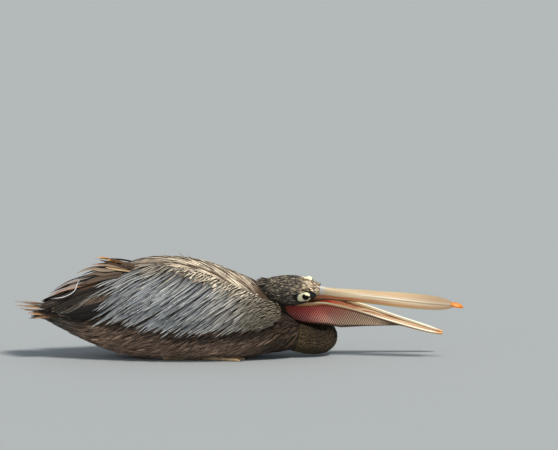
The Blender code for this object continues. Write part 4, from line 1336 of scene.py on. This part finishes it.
def makeFeet():
    # toes and shanks are scaly tubes with knuckles; the web between two toes is a sheet scooped by
    # 4w(1 - w); a claw narrows and bends down
    share = steps(80)
    half = share[::4]
    s, w = np.meshgrid(steps(24), steps(17), indexing="ij")
    toes, shanks, claws, webs = [], [], [], []
    for side in (-1, 1):
        places = (foot[key] for key in ("root", "ankle", "heel"))
        root, ankle, heel = (bodyShift + (x, side * y, 0) for x, y in places)
        ends = []
        for heading, length in foot["toes"]:
            angle = math.radians(heading)
            ends.append(length * np.array((math.cos(angle), side * math.sin(angle), 0)))
            narrow = foot["toeRadius"] * (0.35 + 0.65 * np.sqrt(1.05 - share))
            narrow = narrow * (1 + foot["knuckle"] * np.exp(-((np.mod(3 * share, 1) - 0.5) / 0.15) ** 2))
            toes.append(scaly(root + ends[-1] * share[:, None], narrow, length))
            line = root + ends[-1] * (0.96 + foot["claw"] / length * half[:, None])
            thin = foot["clawRadius"] * (1 - half) ** 0.7 + 0.0002
            claws.append(tube(line + spread(0, 0, 0.0042 - 0.0034 * half**2), thin, 1.3 * thin))
        for one, other in zip(ends, ends[1:]):
            reach = one * (1 - w[..., None]) + other * w[..., None]
            scoop = (s * (1 - foot["notch"] * 4 * w * (1 - w) * s))[..., None]
            height = foot["web"] - 0.0012 * np.sin(math.pi * w)
            webs.append(root + reach * scoop * 0.96 + spread(0, 0, height))
        narrow = foot["shank"] + (foot["knob"] - foot["shank"]) * np.exp(-(((share - 0.9) / 0.12) ** 2))
        shanks.append(scaly(ankle + (heel - ankle) * share[:, None], narrow, 0.09))
    faces = np.vstack([gridFaces(*s.shape) + k * s.size for k in range(len(webs))])

    made = Finish("toe_skin", 0.35, 0.6)
    cells = made.node("ShaderNodeTexVoronoi", {"feature": "DISTANCE_TO_EDGE"},
                      {"Vector": made.place(), "Scale": 450})
    colour = made.layered(linear(206, 176, 134), (made.noise(60).rise(0.35, 0.7), 168, 134, 106),
                          (cells.rise(0.1, 0.0) * 0.45, 86, 66, 50))
    skin = made.finish(colour, made.bump(cells.rise(0.0, 0.12), 0.5, 0.0003))
    addPiece(meshOf("toes", *joined(toes)), skin, "foot_skin", "foot_left", "foot_right")
    addPiece(meshOf("shanks", *joined(shanks)), skin, "foot_skin", "leg_left", "leg_right")
    giveWall(addPiece(meshOf("webs", np.concatenate(webs), faces), skin, "foot_skin"), foot["webThick"])
    made = Finish("claw_horn", 0.4, 0.35)
    colour = made.layered(linear(70, 58, 46), (made.noise(300).rise(0.35, 0.7), 38, 30, 25))
    addPiece(meshOf("claws", *joined(claws)), made.finish(colour), "horn")
    print("feet:", len(toes), "toes and claws")


face = {
    "opening": (0.0077, 0.0047), "openingShift": (-0.0003, 0.0048), "ring": (0.0148, 0.013),
    "ringShift": (-0.0048, -0.0008), "ringSquare": 2.6, "swell": 0.0018, "farSwell": 0.003,
    "overBall": 0.0006, "shadeCornerAt": 0.25, "shadeCornerWidth": 0.36, "gaze": 33, "farRise": 0.004,
    "farDrop": 0.005, "sink": 0.0034, "farTuck": 0.002, "thickness": 0.0008,
}


def headSide(x, z, depth):
    # how far out the head's face is at that place, in its own frame
    middle, half, tall = lookUp(headTable, x)
    sine = np.clip((z - middle) / (tall - depth), -0.98, 0.98)
    return (half - depth) * np.sqrt(1 - sine**2) * (1 - head["crownTaper"] * sine)


def makeFace(side, word):
    # rings round the eye: from the lids' opening on the eyeball, over the swollen ring and out over the
    # bare patch, each ring an oval blended into the next; the ring's front upper corner is painted shade
    eyeX, eyeY, eyeZ = head["eye"]
    far = side > 0
    turn = circle(96)
    cosine, sine = np.cos(turn), np.sin(turn)
    onRing = steps(22)[:, None]
    beyond = steps(20)[1:, None]
    fuller = np.abs(cosine) ** face["ringSquare"] + np.abs(sine) ** face["ringSquare"]
    fuller = fuller ** (-1 / face["ringSquare"])
    ringX = face["ringShift"][0] + face["ring"][0] * cosine * fuller
    ringZ = face["ringShift"][1] + face["ring"][1] * sine * fuller
    ringZ = ringZ + face["farRise"] * far * ease(-0.2, 1.0, sine)
    reach = 1.05 * patchReach(np.arctan2(ringZ, ringX)) / np.hypot(ringX, ringZ)

    def rings(opening, ring):
        return np.vstack([opening + (ring - opening) * onRing, ring + (ring * reach - ring) * beyond])

    x = eyeX + rings(face["openingShift"][0] + face["opening"][0] * cosine, ringX)
    z = eyeZ + rings(face["openingShift"][1] - face["farDrop"] * far + face["opening"][1] * sine, ringZ)
    away = np.hypot(x - eyeX, z - eyeZ) - head["eyeRadius"]
    ball = np.sqrt(np.maximum(-away * (away + 2 * head["eyeRadius"]), 0)) - 1.5 * np.maximum(away, 0)
    ball = ball + eyeY + face["overBall"]
    ringShare = np.vstack([onRing, 1 + 0 * beyond])
    outShare = np.vstack([0 * onRing, beyond])
    flesh = headSide(np.minimum(x, 0.0405), z, 0.002) - face["sink"] * ease(0.5, 1.0, outShare)
    flesh = flesh - face["farTuck"] * far * ease(0.008, 0.024, x - eyeX)
    y = ball + (flesh - ball) * ease(-0.0015, 0.0015, flesh - ball)
    y = y + face["farSwell" if far else "swell"] * np.sin(math.pi * ringShare) ** 0.8
    mesh = meshOf("face_" + word, fromHead(spread(x, side * y, z)), gridFaces(*x.shape, True)[:, ::side])
    # painted shade: a wedge at the ring's front upper corner, as black as the bare patch
    offShadeCorner = np.abs(turn - 2 * math.pi * (turn > 3) - face["shadeCornerAt"])
    shadeCorner = ease(face["shadeCornerWidth"], 0.5 * face["shadeCornerWidth"], offShadeCorner)
    paintMesh(mesh, "lay", spread((ringShare + outShare) / 2, shadeCorner, 0).reshape(-1, 3))
    made = Finish("face_skin_" + word, 0.5, 0.4)
    lay = made.attribute("lay")
    ring, shadeCorner = (made.node("ShaderNodeSeparateColor", None, {0: lay}, out=k) for k in (0, 1))
    pimple = made.noise(700, 3)
    colour = made.layered(
        linear(244, 236, 196),
        ((ring + (pimple - 0.5) * 0.12).rise(0.49, 0.54), 11, 11, 12),
        (ring.rise(0.1, 0.03), 30, 24, 20),
        (shadeCorner, 11, 11, 12),
    )
    finish = made.finish(colour, made.bump(pimple, 0.5, 0.0004))
    giveWall(addPiece(mesh, finish, "pouch_skin"), face["thickness"], -1)
    print("face", word + ":", len(mesh.polygons), "faces")


def makeEyeball(side, word):
    # a ball whose colours go by the angle off its gaze, shared out from 0 ahead to 1 behind
    radius = head["eyeRadius"]
    middle = np.array(head["eye"]) * (1, side, 1)
    lift, turn = np.meshgrid(np.linspace(0, math.pi, 33)[1:-1], circle(48), indexing="ij")
    off = np.sin(lift)
    ring = radius * spread(off * np.cos(turn), -side * np.cos(lift), side * off * np.sin(turn))
    points, *faces = shell(fromHead(ring + middle))
    points[-2:] = fromHead(middle + np.outer((-side, side), (0, radius, 0)))
    mesh = meshOf("eyeball_" + word, points, *faces)
    aside = math.radians(face["gaze"])
    gaze = unit(toHead(points) - middle) @ (0, side * math.cos(aside), math.sin(aside))
    away = np.arccos(np.clip(gaze, -1, 1)) / math.pi
    paintMesh(mesh, "gaze", away, away, away)
    made = Finish("eye_gloss_" + word, 0.12, 0.06)
    away = made.attribute("gaze", "Fac")
    colour = made.layered((0.002, 0.002, 0.002), (away.rise(0.11, 0.12), 26, 15, 10),
                          (away.rise(0.2, 0.23), (0.004, 0.003, 0.003)))
    addPiece(mesh, made.finish(colour), "eye_gloss", "eye_" + word)


skin = makeSkin()
makeMantle()
makeFlanks()
makeNeck()
makeHeadCoat()
makeStrays()
makeRim(skin)
for side, word, seed in ((-1, "right", 11), (1, "left", 12)):
    makeWingCoat(side, word, seed)
    makeWingEnd(side, word, seed + 20)
    makeFace(side, word)
    makeEyeball(side, word)
makeTail()
makeUpperBill()
makeLowerBill()
makePouch()
makeLining()
makeFeet()


studio = {
    "aim": (0.0943, 0, 0.3135), "distance": 8, "elevation": 7, "lens": 219.6,
    "floor": (0.31, 0.335, 0.35), "sky": (0.74, 0.8, 0.86), "skyStrength": 0.55,
}


def makeStage():
    # a plain floor under an even sky
    floor = meshOf("floor", np.array([(-60, -60, 0), (60, -60, 0), (60, 60, 0), (-60, 60, 0)]),
                   np.array([(0, 1, 2, 3)]))
    floor.materials.append(Finish("floor", 0.5, 0.9).finish(studio["floor"]))
    placed("floor", floor)
    world = bpy.data.worlds.new("studio")
    world.use_nodes = True
    sky = world.node_tree.nodes["Background"].inputs
    sky[0].default_value = (*studio["sky"], 1)
    sky[1].default_value = studio["skyStrength"]
    bpy.context.scene.world = world
    bpy.context.scene.view_settings.view_transform = "Standard"


def makeLamp(name, where, angle, strength, colour):
    # a far, soft light that shines from its place towards the middle
    lamp = bpy.data.lights.new(name, "SUN")
    lamp.angle = math.radians(angle)
    lamp.energy = strength
    lamp.color = colour
    holder = placed(name, lamp)
    holder.location = where
    holder.rotation_euler = Vector(where).to_track_quat("Z", "Y").to_euler()


def makeCamera():
    # it looks at its aim from in front, raised by the elevation
    tilt = math.radians(studio["elevation"])
    away = Vector((0, -math.cos(tilt), math.sin(tilt)))
    camera = placed("camera", bpy.data.cameras.new("camera"))
    camera.data.lens = studio["lens"]
    camera.location = Vector(studio["aim"]) + away * studio["distance"]
    camera.rotation_euler = (-away).to_track_quat("-Z", "Y").to_euler()
    bpy.context.scene.camera = camera


makeStage()
makeLamp("key", (1.2, -1.4, 2.9), 12, 3.6, (1.0, 0.94, 0.85))
makeLamp("fill", (-1.6, -3.0, 1.4), 60, 0.35, (0.86, 0.93, 1.0))
makeCamera()
